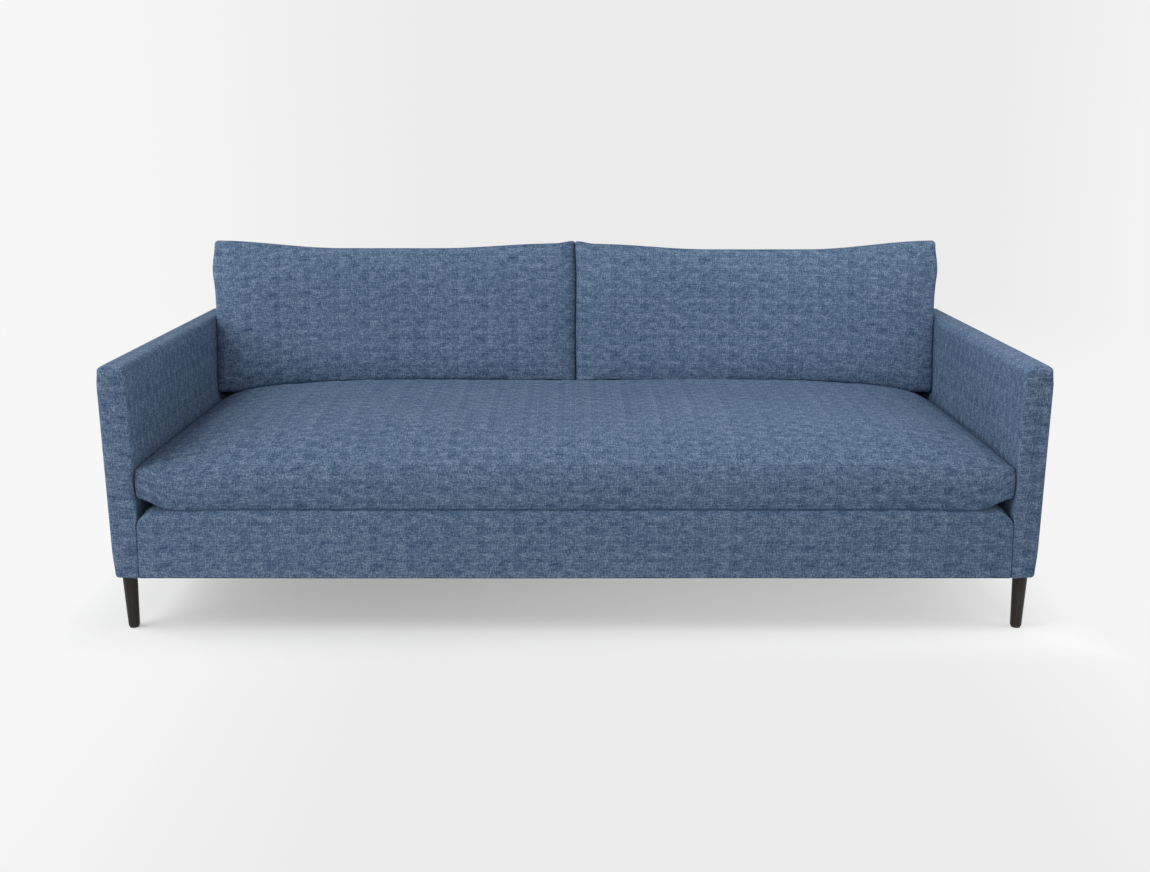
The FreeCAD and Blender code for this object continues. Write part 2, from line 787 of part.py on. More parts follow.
def zip_pieces(length, z, y, out):
    """A zip laid along X on a flat face: two tapes and the chain between them."""
    half = length / 2
    x = (-half, half)
    tape_y = sorted((y, y + out * zip_tape_t))
    chain_y = sorted((y, y + out * (zip_tape_t + zip_chain_t)))
    upper = block(x, tape_y, (z + zip_chain_w / 2, z + zip_chain_w / 2 + zip_tape_w))
    lower = block(x, tape_y, (z - zip_chain_w / 2 - zip_tape_w, z - zip_chain_w / 2))
    chain = block(x, chain_y, (z - zip_chain_w / 2, z + zip_chain_w / 2))
    return [upper, lower, chain]


def slider_piece(x, z, y, out):
    """The zip's slider over the chain, with its pull tab laid along it."""
    floor = zip_tape_t + slider_clearance
    roof = zip_tape_t + zip_chain_t + slider_clearance
    body_y = sorted((y + out * floor, y + out * (roof + slider_t)))
    body = block((x, x + slider_l), body_y, (z - slider_w / 2, z + slider_w / 2))
    groove_y = sorted((y, y + out * roof))
    groove_half = zip_chain_w / 2 + slider_clearance
    body = body.cut(block((x - overrun, x + slider_l + overrun), groove_y,
                          (z - groove_half, z + groove_half)))
    tab_y = sorted((y + out * (roof + slider_t - pull_t), y + out * (roof + slider_t)))
    tab = block((x + slider_l, x + slider_l + pull_l), tab_y, (z - pull_w / 2, z + pull_w / 2))
    return body.fuse(tab).removeSplitter()


def make_seat_cushion():
    outer = seat_form(0.0)
    cavity = seat_form(cover_t)
    save("seat_cushion_cover", outer.cut(cavity))
    wrap_out = cover_t + skin_gap
    wrap_in = wrap_out + wrap_t
    save("seat_cushion_wrap", seat_form(wrap_out).cut(seat_form(wrap_in)))
    save("seat_cushion_core", seat_form(wrap_in + skin_gap))
    length = 2 * inner_half * zip_share
    save("seat_cushion_zip", *zip_pieces(length, seat_zip_z, seat_rear_y, 1))
    save("seat_zip_slider", slider_piece(-length / 2, seat_zip_z, seat_rear_y, 1))
    return outer


# Back cushions

def back_section(x, share, inset):
    """Outline of a back cushion at x, in its own upright frame: y is its depth, z its height."""
    left_share = crown_share(share, back_crown_power)
    lost_share = 1 - left_share
    r = back_cushion_round
    low = inset
    high = back_cushion_height - back_cushion_sag * crown_share(share, back_sag_power) - inset
    thick = back_cushion_edge_t - (back_cushion_edge_t - back_cushion_end_t) * lost_share
    face = -thick + inset
    rear = -inset
    belly = face - max(back_cushion_crown * left_share, cover_t)
    rl, rh = V(x, rear, low + r), V(x, rear, high - r)
    rl2, rh2 = V(x, rear - r, low), V(x, rear - r, high)
    fl, fh = V(x, face, low + r), V(x, face, high - r)
    fl2, fh2 = V(x, face + r, low), V(x, face + r, high)
    return Part.Wire([
        line(rl, rh), corner(rh, V(x, rear, high), rh2), line(rh2, fh2),
        corner(fh2, V(x, face, high), fh), arc(fh, V(x, belly, (low + high) / 2), fl),
        corner(fl, V(x, face, low), fl2), line(fl2, rl2), corner(rl2, V(x, rear, low), rl),
    ])


def leaned(shape):
    """Carries a shape from a back cushion's upright frame to its place against the back."""
    base_y = slope_y(back_cushion_low_z, -skin_gap)
    turned = shape.copy()
    turned.rotate(V(0, 0, 0), V(1, 0, 0), -math.degrees(back_lean))
    return turned.translated(V(0, base_y, back_cushion_low_z))


def back_span():
    """Low and high x of the right back cushion."""
    return back_cushion_gap / 2, inner_half - back_cushion_side_gap


def back_form_cushion(inset, seat):
    """The right back cushion taken in by inset, its base pressed to the seat cushion's crown."""
    low, high = back_span()
    middle, half = (low + high) / 2, (high - low) / 2 - inset
    shape = Part.makeLoft([back_section(middle + half * s, s, inset) for s in back_station_shares],
                          True, False)
    reach = (high - low) * zip_groove_share / 2 + inset
    groove_z = (zip_groove_rise - zip_groove_w / 2 - inset, zip_groove_rise + zip_groove_w / 2 + inset)
    groove = block((middle - reach, middle + reach), (-zip_groove_depth - inset, overrun), groove_z)
    return leaned(shape.cut(groove)).cut(seat.translated(V(0, 0, skin_gap + inset)))


def make_back_cushions(seat):
    outer = back_form_cushion(0.0, seat)
    cavity = back_form_cushion(cover_t, seat)
    save_pair("back_cushion_cover", outer.cut(cavity))
    save_pair("back_cushion_fill", back_form_cushion(cover_t + skin_gap, seat))
    low, high = back_span()
    length = (high - low) * zip_share
    middle = (low + high) / 2
    base = -zip_groove_depth
    zips = [leaned(piece.translated(V(middle, 0, 0)))
            for piece in zip_pieces(length, zip_groove_rise, base, 1)]
    slider = leaned(slider_piece(middle - length / 2, zip_groove_rise, base, 1))
    save("back_cushion_zip_right", *zips)
    save("back_cushion_zip_left", *[mirrored(piece) for piece in zips])
    save_pair("back_zip_slider", slider)


def main():
    os.makedirs(OUT, exist_ok=True)
    make_legs()
    make_arm_timber()
    make_seat_frame()
    make_back_frame()
    make_springs()
    make_webbing()
    make_arms()
    make_deck()
    make_back_upholstery()
    make_dust_cover()
    make_back_cushions(make_seat_cushion())


main()
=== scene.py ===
"""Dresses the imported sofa: upholstery, finishes, floor, light and camera. Lengths are metres.

X runs across the sofa, Y from its front to its back, Z up from the floor, as in the CAD model.
"""

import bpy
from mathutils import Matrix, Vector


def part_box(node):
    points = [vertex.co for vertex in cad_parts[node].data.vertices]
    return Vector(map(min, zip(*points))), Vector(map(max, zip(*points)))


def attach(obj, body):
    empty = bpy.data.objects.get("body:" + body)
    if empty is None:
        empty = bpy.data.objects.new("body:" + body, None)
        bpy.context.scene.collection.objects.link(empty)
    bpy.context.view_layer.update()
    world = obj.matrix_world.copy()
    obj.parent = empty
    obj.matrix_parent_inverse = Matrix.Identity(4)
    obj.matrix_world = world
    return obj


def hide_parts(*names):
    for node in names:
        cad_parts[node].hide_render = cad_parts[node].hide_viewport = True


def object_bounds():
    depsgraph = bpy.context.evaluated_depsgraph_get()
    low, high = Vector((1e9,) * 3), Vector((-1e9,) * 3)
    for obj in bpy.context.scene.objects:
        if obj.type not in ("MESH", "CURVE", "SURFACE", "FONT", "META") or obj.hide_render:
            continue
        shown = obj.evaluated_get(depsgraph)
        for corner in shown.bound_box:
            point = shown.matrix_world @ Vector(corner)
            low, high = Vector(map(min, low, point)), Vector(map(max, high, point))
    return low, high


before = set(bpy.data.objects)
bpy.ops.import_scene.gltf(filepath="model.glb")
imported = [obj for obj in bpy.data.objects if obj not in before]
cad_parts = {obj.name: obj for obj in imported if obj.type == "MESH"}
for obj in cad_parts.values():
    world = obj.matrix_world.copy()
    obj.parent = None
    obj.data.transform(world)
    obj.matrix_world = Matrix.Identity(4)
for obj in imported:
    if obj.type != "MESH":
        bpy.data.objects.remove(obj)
cad_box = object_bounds()

import copy
import math

import bpy
import numpy as np
from mathutils import Vector

# Upholstery layers, from the cover inwards
cloth_t = 0.0025
under_cloth = cloth_t + 0.0002
skin_gap = 0.0004
pad_t = 0.0076
pad_least_t = 0.0006
wrap_inset = 0.0055
core_inset = 0.023
cover_gaps = (0.0006, 0.0005)
fill_gaps = (0.006, 0.006)
press_gap = 0.0006

# How fine the meshes are, with extra lines close to the edges that are rounded
mesh_step = 0.013
edge_offsets = (0.0, 0.0025, 0.006, 0.0105, 0.016, 0.024)
end_offsets = edge_offsets + (0.034, 0.046)
wrap_step = 0.02
core_step = 0.03
fill_step = 0.022
arm_steps = (0.011, 0.016, 0.015)
border_step = 0.011
border_step_share = 0.0125
border_offset_shares = (0.0, 0.0012, 0.0028, 0.005, 0.009, 0.014, 0.02, 0.028, 0.037)
deck_step = 0.02
lining_across_step, lining_step = 0.016, 0.014
outside_step = 0.018
dust_step = 0.03
touch = 1e-6

# Boxes of the upholstered nodes, which the meshes follow
seat_low, seat_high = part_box("seat_cushion_cover")
back_outer_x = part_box("back_cushion_cover_right")[1].x
arm_low, arm_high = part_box("arm_cover_right")
border_low, border_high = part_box("front_border_cover")
deck_low, deck_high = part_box("deck_cover")
lining_low, lining_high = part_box("inside_back_cover")
spring_low, spring_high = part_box("seat_springs")

# Seat cushion
seat_half = seat_high.x
seat_front_bulge = 0.005
seat_front_y = seat_low.y + seat_front_bulge
seat_rear_y = seat_high.y
seat_front_seam_z = 0.424
seat_rear_seam_z = 0.407
seat_seam_drop = 0.014
seat_seam_power = 10
seat_crown_gap = 0.0025
seat_broad_drop = 0.054
seat_broad_power = 5.6
seat_end_drop = 0.024
seat_end_power = 24
seat_least_crown = 0.0025
seat_flat_front_y = -0.230
seat_flat_rear_y = 0.180
seat_corner_lift = 0.026
seat_lift_xs = (0.972, 1.054)
seat_corner_draw = 0.007
seat_side_t = seat_front_seam_z - seat_low.z
seat_top_round = 0.024
seat_low_round = 0.006
seat_end_round = 0.006

# Where and how far the seat cushion's ends swell into the arms
seat_end_swell = 0.0045
swell_z = seat_low.z + 0.055
swell_reach = 0.040
swell_full_y = seat_front_y + 0.03
swell_gone_y = seat_front_y + 0.22

# Front lip of the deck, over which the seat cushion hangs a little
lip_drop = 0.0055
lip_end_drop = 0.0055
lip_end_x = 0.955
lip_end_reach = 0.075
lip_depth = 0.024
lip_edge = 0.008

# Back cushions, in an upright frame that then leans back
back_lean = math.radians(8.0)
back_base_z = 0.436
back_tall = 0.432
back_sag = {-1: 0.0228, 1: 0.0262}
back_outside_shares = (0.30, 1.02)
back_inside_shares = (0.25, 0.90)
back_inside_loss_share = 0.62
back_ear = 0.007
back_ear_shares = (0.89, 0.99)
back_thick = 0.128
back_end_thin = 0.007
back_crown = 0.026
back_crown_power = 6.0
back_belly_powers = (12.0, 4.0)
back_round = 0.013
back_inner_round = 0.005
back_left_turn = 0.014
back_end_bulge = 0.0058
back_bulge_height = 0.345
back_bulge_reach = 0.055
back_arm_bulge = 0.0125
back_arm_loss_share = 0.20
back_loss_zs = (0.36, 0.43)
back_end_droop = 0.018
back_droop_shares = (0.55, 0.97)
back_droop_z = 0.12
back_level_z = 0.2
division_gap = 0.0003
division_shift = 0.0026
division_wave = 0.31
division_wave_share = 0.35
division_bow = 0.0012
groove_z = 0.120
groove_half = 0.017
groove_depth = 0.0065
groove_share = 0.88
groove_edge = 0.004

# Arms. The back cushions press a dent into their inner faces and swell over their tops
arm_round = 0.010
arm_outer_round = 0.0085
arm_inner_round = 0.012
arm_inner_roll = 0.020
arm_joint_round = 0.003
arm_rear_round = 0.004
arm_side_bulge = 0.004
arm_top_crown = 0.003
arm_dent = 0.0070
arm_dent_ys = (0.235, 0.270)
arm_dent_zs = (0.380, 0.440)
arm_dent_fade = 0.012
arm_notch_reach = 0.042
arm_roll_reach = (0.02, 0.14)
arm_side_fades = (0.005, 0.07), (0.005, 0.045)
arm_lean_in = 0.001
arm_lean_ys = (0.10, 0.20)
arm_lean_zs = (0.46, 0.52)
arm_edge = 0.03
over_arm_reach = 0.03
over_arm_below, over_arm_above = 0.014, 0.022
back_front_y = 0.383

# Border, deck and back
hem_lip = 0.0034
front_side_zs = (0.24, 0.30)
border_round = 0.040
border_roll = 0.008
border_flare_top = 1.0562
border_flare_low = 1.0620
border_joint_y = border_low.y + 0.0105
border_hem = 0.030
border_end_round = 0.004
border_end_draw = 0.007
border_pad_inset = 0.0034
border_pad_depth = 0.040
border_pad_t = 0.0062
hem_z = 0.266
deck_pad_t = 0.034
deck_sink = 0.0016
back_edge_round = 0.009
back_hem = 0.040

# Sewing, and how far covers swell softly
seam_depth = 0.0014
wrinkle_limit = 0.0015
cushion_wave = (0.0012, 0.002)
cover_wave = (0.0006, 0.001)
lining_wave = 0.0010
outside_swell = 0.0012
outside_wave = 0.0007
outside_edge_draw = 0.0011
dust_fold = 0.0008
border_bulge = 0.0016
cloth_settings = {
    "quality": 4,
    "mass": 0.35,
    "tension_stiffness": 14.0,
    "compression_stiffness": 9.0,
    "shear_stiffness": 4.0,
    "bending_stiffness": 0.35,
    "shrink_min": -0.012,
    "use_pressure": True,
    "uniform_pressure_force": 4.0,
    "vertex_group_mass": "held",
}

# Dust cover, springs and cloth patterns
leg_hole = 0.020
dust_sag = 0.0045
spring_count = 18
spring_bars = 34
spring_bar = 0.024
weave_across = 0.087
weave_up = 0.047
yarn_pitch = 0.0014
deck_yarn_pitch = 0.0009
dot_pitch = 0.004
rib_pitch, cord_pitch = 0.0022, 0.0016
tooth_pitch, twill_pitch = 0.0026, 0.0011

# Tones of the backdrop, with painted light that makes its left and right ends paler, and how the floor keeps the
# sofa's shadow
pale = 0.831
paler_left = 0.930
paler_right = 0.905
shadow_reach = 0.22
shaded_glow = 0.225
open_lean = 0.135
open_reach = 1.25


# Surfaces made of grids of points

class Panel:
    """A grid of point numbers cut from one piece of cloth. Turned cloth has its weft along the
    grid's second direction, and cells that aren't kept are left open."""

    def __init__(self, numbers, flipped=False):
        self.numbers = numbers
        self.flipped = flipped
        self.turned = False
        self.kept = np.ones((numbers.shape[0] - 1, numbers.shape[1] - 1), bool)


class Form:
    """Points, the panels that join them into one surface, and where the points began."""

    def __init__(self, places, panels):
        self.places = places
        self.panels = panels
        self.box = places


def cells(grid):
    """The four corners of every cell of a grid."""
    return np.stack([grid[:-1, :-1], grid[1:, :-1], grid[1:, 1:], grid[:-1, 1:]], 2)


def cell_centres(form, panel):
    """The middle of every cell of a panel."""
    return form.places[cells(panel.numbers)].mean(2)


def line_places(low, high, step=mesh_step, offsets=edge_offsets):
    """Places from low to high: close together near both ends, then even."""
    span = high - low
    near = [low + o for o in offsets if o < span / 3]
    far = [high - o for o in reversed(offsets) if o < span / 3]
    count = max(1, round((far[0] - near[-1]) / step))
    return np.array(near + list(np.linspace(near[-1], far[0], count + 1)[1:-1]) + far)


def with_lines(places, extra, least=0.0018):
    """Adds lines at the extra places and drops old ones that lie too close to them."""
    kept = [p for p in places if all(abs(p - e) > least for e in extra)]
    return np.array(sorted(kept + list(extra)))


def box_form(low, high, step, x_offsets=edge_offsets, z_lines=()):
    """The outer points of a grid over a box. Step is one length, or one for each axis. The panels
    are -x, +x, -y, +y, -z and +z, in that order."""
    steps = np.broadcast_to(step, 3)
    xs = line_places(low[0], high[0], steps[0], x_offsets)
    ys = line_places(low[1], high[1], steps[1])
    zs = with_lines(line_places(low[2], high[2], steps[2]), z_lines)
    outer = np.ones((len(xs), len(ys), len(zs)), bool)
    outer[1:-1, 1:-1, 1:-1] = False
    numbers = np.full(outer.shape, -1)
    numbers[outer] = np.arange(outer.sum())
    places = np.stack(np.meshgrid(xs, ys, zs, indexing="ij"), -1)[outer]
    return Form(places, [
        Panel(numbers[0], True), Panel(numbers[-1]),
        Panel(numbers[:, 0]), Panel(numbers[:, -1], True),
        Panel(numbers[:, :, 0], True), Panel(numbers[:, :, -1]),
    ])


def strip_form(places):
    """A single grid of places as a surface."""
    numbers = np.arange(places.shape[0] * places.shape[1]).reshape(places.shape[:2])
    return Form(places.reshape(-1, 3), [Panel(numbers)])


def at_sides(box):
    """Which low and which high sides of their box the points lie on, each in X, Y and Z."""
    return np.abs(box - box.min(0)) < touch, np.abs(box - box.max(0)) < touch


def sewn(box):
    """Whether points lie on a seam: an edge between the top or bottom of their box and a side."""
    at_low, at_high = at_sides(box)
    at_end = at_low | at_high
    return at_end[:, 2] & (at_end[:, 0] | at_end[:, 1])


def softened(places, radius, seam=0.0):
    """Rounds the edges of the box on which the places lie, and draws seams in by seam."""
    radius = np.broadcast_to(np.reshape(radius, (-1, 1)), places.shape)
    inner = np.clip(places, places.min(0) + radius, places.max(0) - radius)
    out = places - inner
    length = np.maximum(np.linalg.norm(out, axis=1, keepdims=True), 1e-9)
    return inner + out / length * (radius - seam * sewn(places)[:, None])


def mirrored(form):
    """The same form on the other side of the sofa."""
    panels = [copy.copy(panel) for panel in form.panels]
    for panel in panels:
        panel.flipped = not panel.flipped
    return Form(form.places * (-1, 1, 1), panels)


def laid_cloth(form, panel, seed):
    """Cloth coordinates of a panel's points: metres along the weft, metres across it, and the seed."""
    places = form.places[panel.numbers]
    along, across = np.zeros((2, *places.shape[:2]))
    along[1:] = np.cumsum(np.linalg.norm(np.diff(places, axis=0), axis=2), axis=0)
    across[:, 1:] = np.cumsum(np.linalg.norm(np.diff(places, axis=1), axis=2), axis=1)
    along -= along[along.shape[0] // 2]
    pair = (across, along) if panel.turned else (along, across)
    return np.stack([pair[0] + 0.137 * seed, pair[1] + 0.071 * seed, np.full(along.shape, float(seed))], -1)


def quads_of(form, seed=0):
    """All kept faces of a form and the cloth coordinate of each of their corners."""
    faces, cloth = [], []
    for k, panel in enumerate(form.panels):
        corner = cells(panel.numbers)[panel.kept]
        value = cells(laid_cloth(form, panel, seed + k))[panel.kept]
        faces.append(corner[:, ::-1] if panel.flipped else corner)
        cloth.append(value[:, ::-1] if panel.flipped else value)
    return np.concatenate(faces), np.concatenate(cloth)


def point_normals(places, faces):
    """A unit normal for every point, averaged over its faces by area."""
    a, b, c, d = (places[faces[:, k]] for k in range(4))
    face_normals = np.cross(c - a, d - b)
    total = np.zeros_like(places)
    for k in range(4):
        np.add.at(total, faces[:, k], face_normals)
    return total / np.maximum(np.linalg.norm(total, axis=1, keepdims=True), 1e-12)


def shell(places, faces, cloth, thickness):
    """Gives an open surface its thickness, inwards, with a rim along its free edges."""
    count = len(places)
    inner = places - point_normals(places, faces) * thickness
    ends = np.roll(faces, -1, axis=1)
    free = ~np.isin(faces * count + ends, ends * count + faces)
    a, b, a_cloth, b_cloth = faces[free], ends[free], cloth[free], np.roll(cloth, -1, axis=1)[free]
    rim = np.stack([b, a, a + count, b + count], 1)
    rim_cloth = np.stack([b_cloth, a_cloth, a_cloth, b_cloth], 1)
    return (np.concatenate([places, inner]),
            np.concatenate([faces, faces[:, ::-1] + count, rim]),
            np.concatenate([cloth, cloth[:, ::-1], rim_cloth]))


# Pieces in the scene

def mesh_of(name, places, faces, cloth=None):
    """A smooth mesh whose corners carry their cloth coordinates."""
    mesh = bpy.data.meshes.new(name)
    mesh.from_pydata(places.tolist(), [], faces.tolist())
    if cloth is not None:
        layer = mesh.attributes.new("cloth", "FLOAT_VECTOR", "CORNER")
        layer.data.foreach_set("vector", cloth.astype(np.float32).ravel())
    mesh.shade_smooth()
    mesh.set_sharp_from_angle(angle=math.radians(62.0))
    return mesh


def new_object(name, data, place=(0.0, 0.0, 0.0)):
    """An object in the scene."""
    made = bpy.data.objects.new(name, data)
    made.location = place
    bpy.context.scene.collection.objects.link(made)
    return made


def put_in_frame(name, mesh, body, slot, replaced):
    """Puts a mesh on its body in place of a CAD node, with its finish."""
    piece = new_object(name, mesh)
    mesh.materials.append(finish_of(slot))
    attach(piece, body)
    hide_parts(replaced)
    return piece


def add_piece(name, form, body, slot, replaced, thickness=0.0, seed=0):
    """Makes a soft piece from a form. Thickness may differ from point to point."""
    faces, cloth = quads_of(form, seed)
    used, faces = np.unique(faces, return_inverse=True)
    places, faces = form.places[used], faces.reshape(-1, 4)
    if np.any(thickness):
        thickness = np.broadcast_to(thickness, (len(form.places), 1))[used]
        places, faces, cloth = shell(places, faces, cloth, thickness)
    piece = put_in_frame(name, mesh_of(name, places, faces, cloth), body, slot, replaced)
    return piece


# Shapes that several pieces share

def fade_in(value, low, high):
    """0 below low, 1 above high, and an even curve between."""
    share = np.clip((value - low) / (high - low), 0.0, 1.0)
    return share * share * (3.0 - 2.0 * share)


def fade_out(value, low, high):
    """1 below low and 0 above high."""
    return 1 - fade_in(value, low, high)


def blend(first, second, share):
    """The first value at share 0, the second at 1, and in between what lies there."""
    return first + (second - first) * share


def ripple(places, seed, length, height, limit=math.inf):
    """A smooth random field that mostly stays between -height and height, cut off at limit."""
    draws = np.random.default_rng(seed)
    field = np.zeros(len(places))
    waves = 14
    for _ in range(waves):
        direction = draws.normal(size=3)
        direction /= np.linalg.norm(direction)
        wave = length * draws.uniform(0.7, 1.6)
        field += np.cos(places @ direction * (2 * math.pi / wave) + draws.uniform(0, 2 * math.pi))
    return np.clip(height * field / math.sqrt(waves), -limit, limit)


def slope_y(z, offset=0.0):
    """Y of the leaning inside back at height z."""
    base = lining_low.y + (z - lining_low.z) * math.tan(back_lean)
    return base + offset / math.cos(back_lean)


def bend(start, tip, end, radius, steps=6):
    """Points of a rounded corner at tip, on the way from start to end, in one plane."""
    first, second = ((p - tip) / np.linalg.norm(p - tip) for p in (start, end))
    half_angle = math.acos(np.clip(first @ second, -1, 1)) / 2
    reach = radius / math.tan(half_angle)
    centre = tip + (first + second) / np.linalg.norm(first + second) * radius / math.sin(half_angle)
    a, b = tip + first * reach - centre, tip + second * reach - centre
    turn = math.acos(np.clip(a @ b / radius ** 2, -1, 1))
    return [centre + (a * math.sin((1 - s) * turn) + b * math.sin(s * turn)) / math.sin(turn)
            for s in np.linspace(0, 1, steps + 1)]


def rounded_path(points, radii, step):
    """A line through points with its inner corners rounded, with a place every step or so."""
    points = np.array(points, float)
    corners = [bend(*points[k:k + 3], radius) for k, radius in enumerate(radii)]
    path = [points[0]]
    for corner in corners + [[points[-1]]]:
        count = max(1, round(np.linalg.norm(corner[0] - path[-1]) / step))
        path += list(np.linspace(path[-1], corner[0], count + 1)[1:])
        path += corner[1:]
    return np.array(path)


# Cloth simulation of the cushions

def neighbour_average(values, faces, rounds):
    """Values spread evenly over their neighbours, again and again."""
    first, second = faces.ravel(), np.roll(faces, -1, axis=1).ravel()
    starts, ends = np.concatenate([first, second]), np.concatenate([second, first])
    degree = np.bincount(ends, minlength=len(values))[:, None]
    for _ in range(rounds):
        total = np.zeros_like(values)
        np.add.at(total, ends, values[starts])
        values = (values + total / degree) / 2
    return values


def simulated(form, frames=14):
    """Where a cloth simulation carries a form's points when the form is blown up, held by its seams."""
    faces, _ = quads_of(form)
    piece = new_object("cloth_run", mesh_of("cloth_run", form.places, faces))
    group = piece.vertex_groups.new(name="held")
    for number, held in enumerate(sewn(form.box)):
        group.add([number], 1.0 if held else 0.02, "REPLACE")
    cloth = piece.modifiers.new("cloth", "CLOTH")
    for name, value in cloth_settings.items():
        setattr(cloth.settings, name, value)
    cloth.settings.effector_weights.gravity = 0.0
    cloth.collision_settings.use_collision = False
    cloth.point_cache.frame_start = 1
    cloth.point_cache.frame_end = frames
    scene = bpy.context.scene
    for number in range(1, frames + 1):
        scene.frame_set(number)
    made = piece.evaluated_get(bpy.context.evaluated_depsgraph_get()).to_mesh()
    places = np.empty(len(made.vertices) * 3, np.float32)
    made.vertices.foreach_get("co", places)
    scene.frame_set(1)
    mesh = piece.data
    bpy.data.objects.remove(piece)
    bpy.data.meshes.remove(mesh)
    return places.reshape(-1, 3).astype(float)


def wrinkled(form, free):
    """The form with the fine folds that a cloth simulation gives it. Its large shape stays, and free
    says how much of the folds each point keeps."""
    faces, _ = quads_of(form)
    moved = simulated(form) - form.places
    folds = moved - neighbour_average(moved, faces, 40)
    length = np.maximum(np.linalg.norm(folds, axis=1, keepdims=True), 1e-9)
    folds *= wrinkle_limit / np.maximum(length, wrinkle_limit)
    return Form(form.places + folds * free[:, None], form.panels)


# Seat cushion

def arc_drop(run, reach, drop):
    """How far an arc that starts level has come down after run, if it comes down by drop at reach."""
    radius = (reach * reach + drop * drop) / (2 * drop)
    run = np.clip(run, 0.0, reach)
    return radius - np.sqrt(radius * radius - run * run)


def seat_lost(x):
    """How far the seat cushion's top has come down at x, in metres."""
    share = np.minimum(np.abs(x) / seat_half, 1.0)
    return seat_broad_drop * share ** seat_broad_power + seat_end_drop * share ** seat_end_power


def seat_top(x, y, inset=0.0):
    """Height of the seat cushion's crown."""
    share = np.minimum(np.abs(x) / seat_half, 1.0)
    top = seat_high.z - seat_crown_gap - seat_lost(x)
    seam_z = seat_front_seam_z - seat_seam_drop * share ** seat_seam_power
    front_drop = np.maximum(top - seam_z, seat_least_crown)
    front = arc_drop(seat_flat_front_y - y, seat_flat_front_y - seat_front_y, front_drop)
    rear_drop = np.maximum(top - seat_rear_seam_z, seat_least_crown)
    rear = arc_drop(y - seat_flat_rear_y, seat_rear_y - seat_flat_rear_y, rear_drop)
    return top - front - rear - inset


def front_lip(x, y):
    """How far the deck's front edge lies below the deck."""
    drop = lip_drop + lip_end_drop * np.exp(-((np.abs(x) - lip_end_x) / lip_end_reach) ** 2)
    edge = -border_low.y - lip_edge
    return drop * fade_in(-y, edge - lip_depth, edge)


def seat_form(inset=0.0, step=mesh_step, seam=0.0):
    """The seat cushion, taken in by inset on every side."""
    low = np.array([-seat_half + inset, seat_front_y + inset, 0.0])
    high = np.array([seat_half - inset, seat_rear_y - inset, seat_side_t - 2 * inset])
    form = box_form(low, high, step, end_offsets)
    near_end = fade_in(np.abs(form.box[:, 0]), high[0] - 0.05, high[0] - 0.01)
    radius = blend(seat_low_round, seat_top_round, form.box[:, 2] / high[2])
    radius = blend(radius, seat_end_round, near_end)
    x, y, z = softened(form.box, np.minimum(radius, high[2] / 3), seam).T
    rise_share = z / high[2]
    depth_share = (y - low[1]) / (high[1] - low[1])
    lost = seat_lost(x) / (seat_broad_drop + seat_end_drop)
    bulge = seat_front_bulge * 4 * rise_share * (1 - rise_share)
    front = low[1] + seat_corner_draw * lost - bulge
    y = blend(front, high[1], depth_share)
    lift = seat_corner_lift * fade_in(np.abs(x), *seat_lift_xs)
    bottom = seat_low.z + inset + lift - front_lip(x, y) * (inset < cloth_t)
    z = blend(bottom, seat_top(x, y, inset), rise_share)
    form.places = np.stack([x, y, z], 1)
    return form


def end_press(y, z):
    """How strongly the seat cushion's ends press into the arms, most near their front."""
    return np.exp(-((z - swell_z) / swell_reach) ** 4) * fade_out(y, swell_full_y, swell_gone_y)


def add_seat_cushion():
    form = seat_form(seam=seam_depth)
    box, places = form.box, form.places
    at_low, at_high = at_sides(box)
    inside = fade_in(seat_half - np.abs(box[:, 0]), 0, 0.1) * at_high[:, 2]
    waves = ripple(places, 3, 0.32, *cushion_wave) * inside
    places[:, 2] += waves * fade_in(box[:, 1], seat_front_y, seat_front_y + 0.1)
    form = wrinkled(form, np.where(at_low[:, 2] | at_high[:, 1], 0.0, 1.0))
    places = form.places
    swell = seat_end_swell * end_press(places[:, 1], places[:, 2])
    places[:, 0] = np.clip(places[:, 0] * (1 + swell / seat_half), -seat_half - swell, seat_half + swell)
    add_piece("seat_cushion_fabric", form, "seat_cushion", "sofa_fabric", "seat_cushion_cover",
              seed=11)
    add_piece("seat_cushion_fibre", seat_form(wrap_inset, wrap_step), "seat_cushion", "wadding",
              "seat_cushion_wrap", seed=21)
    add_piece("seat_cushion_foam", seat_form(core_inset, core_step), "seat_cushion", "foam", "seat_cushion_core",
              seed=31)


# Back cushions

def leaned(x, y, z):
    """Carries places from a back cushion's upright frame to where it leans."""
    turned_y = y * math.cos(back_lean) + z * math.sin(back_lean) + slope_y(back_base_z, -skin_gap)
    turned_z = z * math.cos(back_lean) - y * math.sin(back_lean) + back_base_z
    return np.stack([x, turned_y, turned_z], 1)


def top_drop(share, sag):
    """How far the top edge hangs below the outer corner. Share runs from -1 inside to 1 outside."""
    outside = fade_out(share, *back_outside_shares)
    inside = 1 - back_inside_loss_share * fade_in(-share, *back_inside_shares)
    return sag * np.where(share > 0, outside, inside) - back_ear * fade_in(-share, *back_ear_shares)


def division_x(z):
    """X of the plane in which the two back cushions meet, at height z of their upright frame."""
    wave = 1 + division_wave_share * np.cos(z * (2 * math.pi / division_wave))
    return division_shift * wave * fade_in(back_tall - z, 0.0, 0.10)


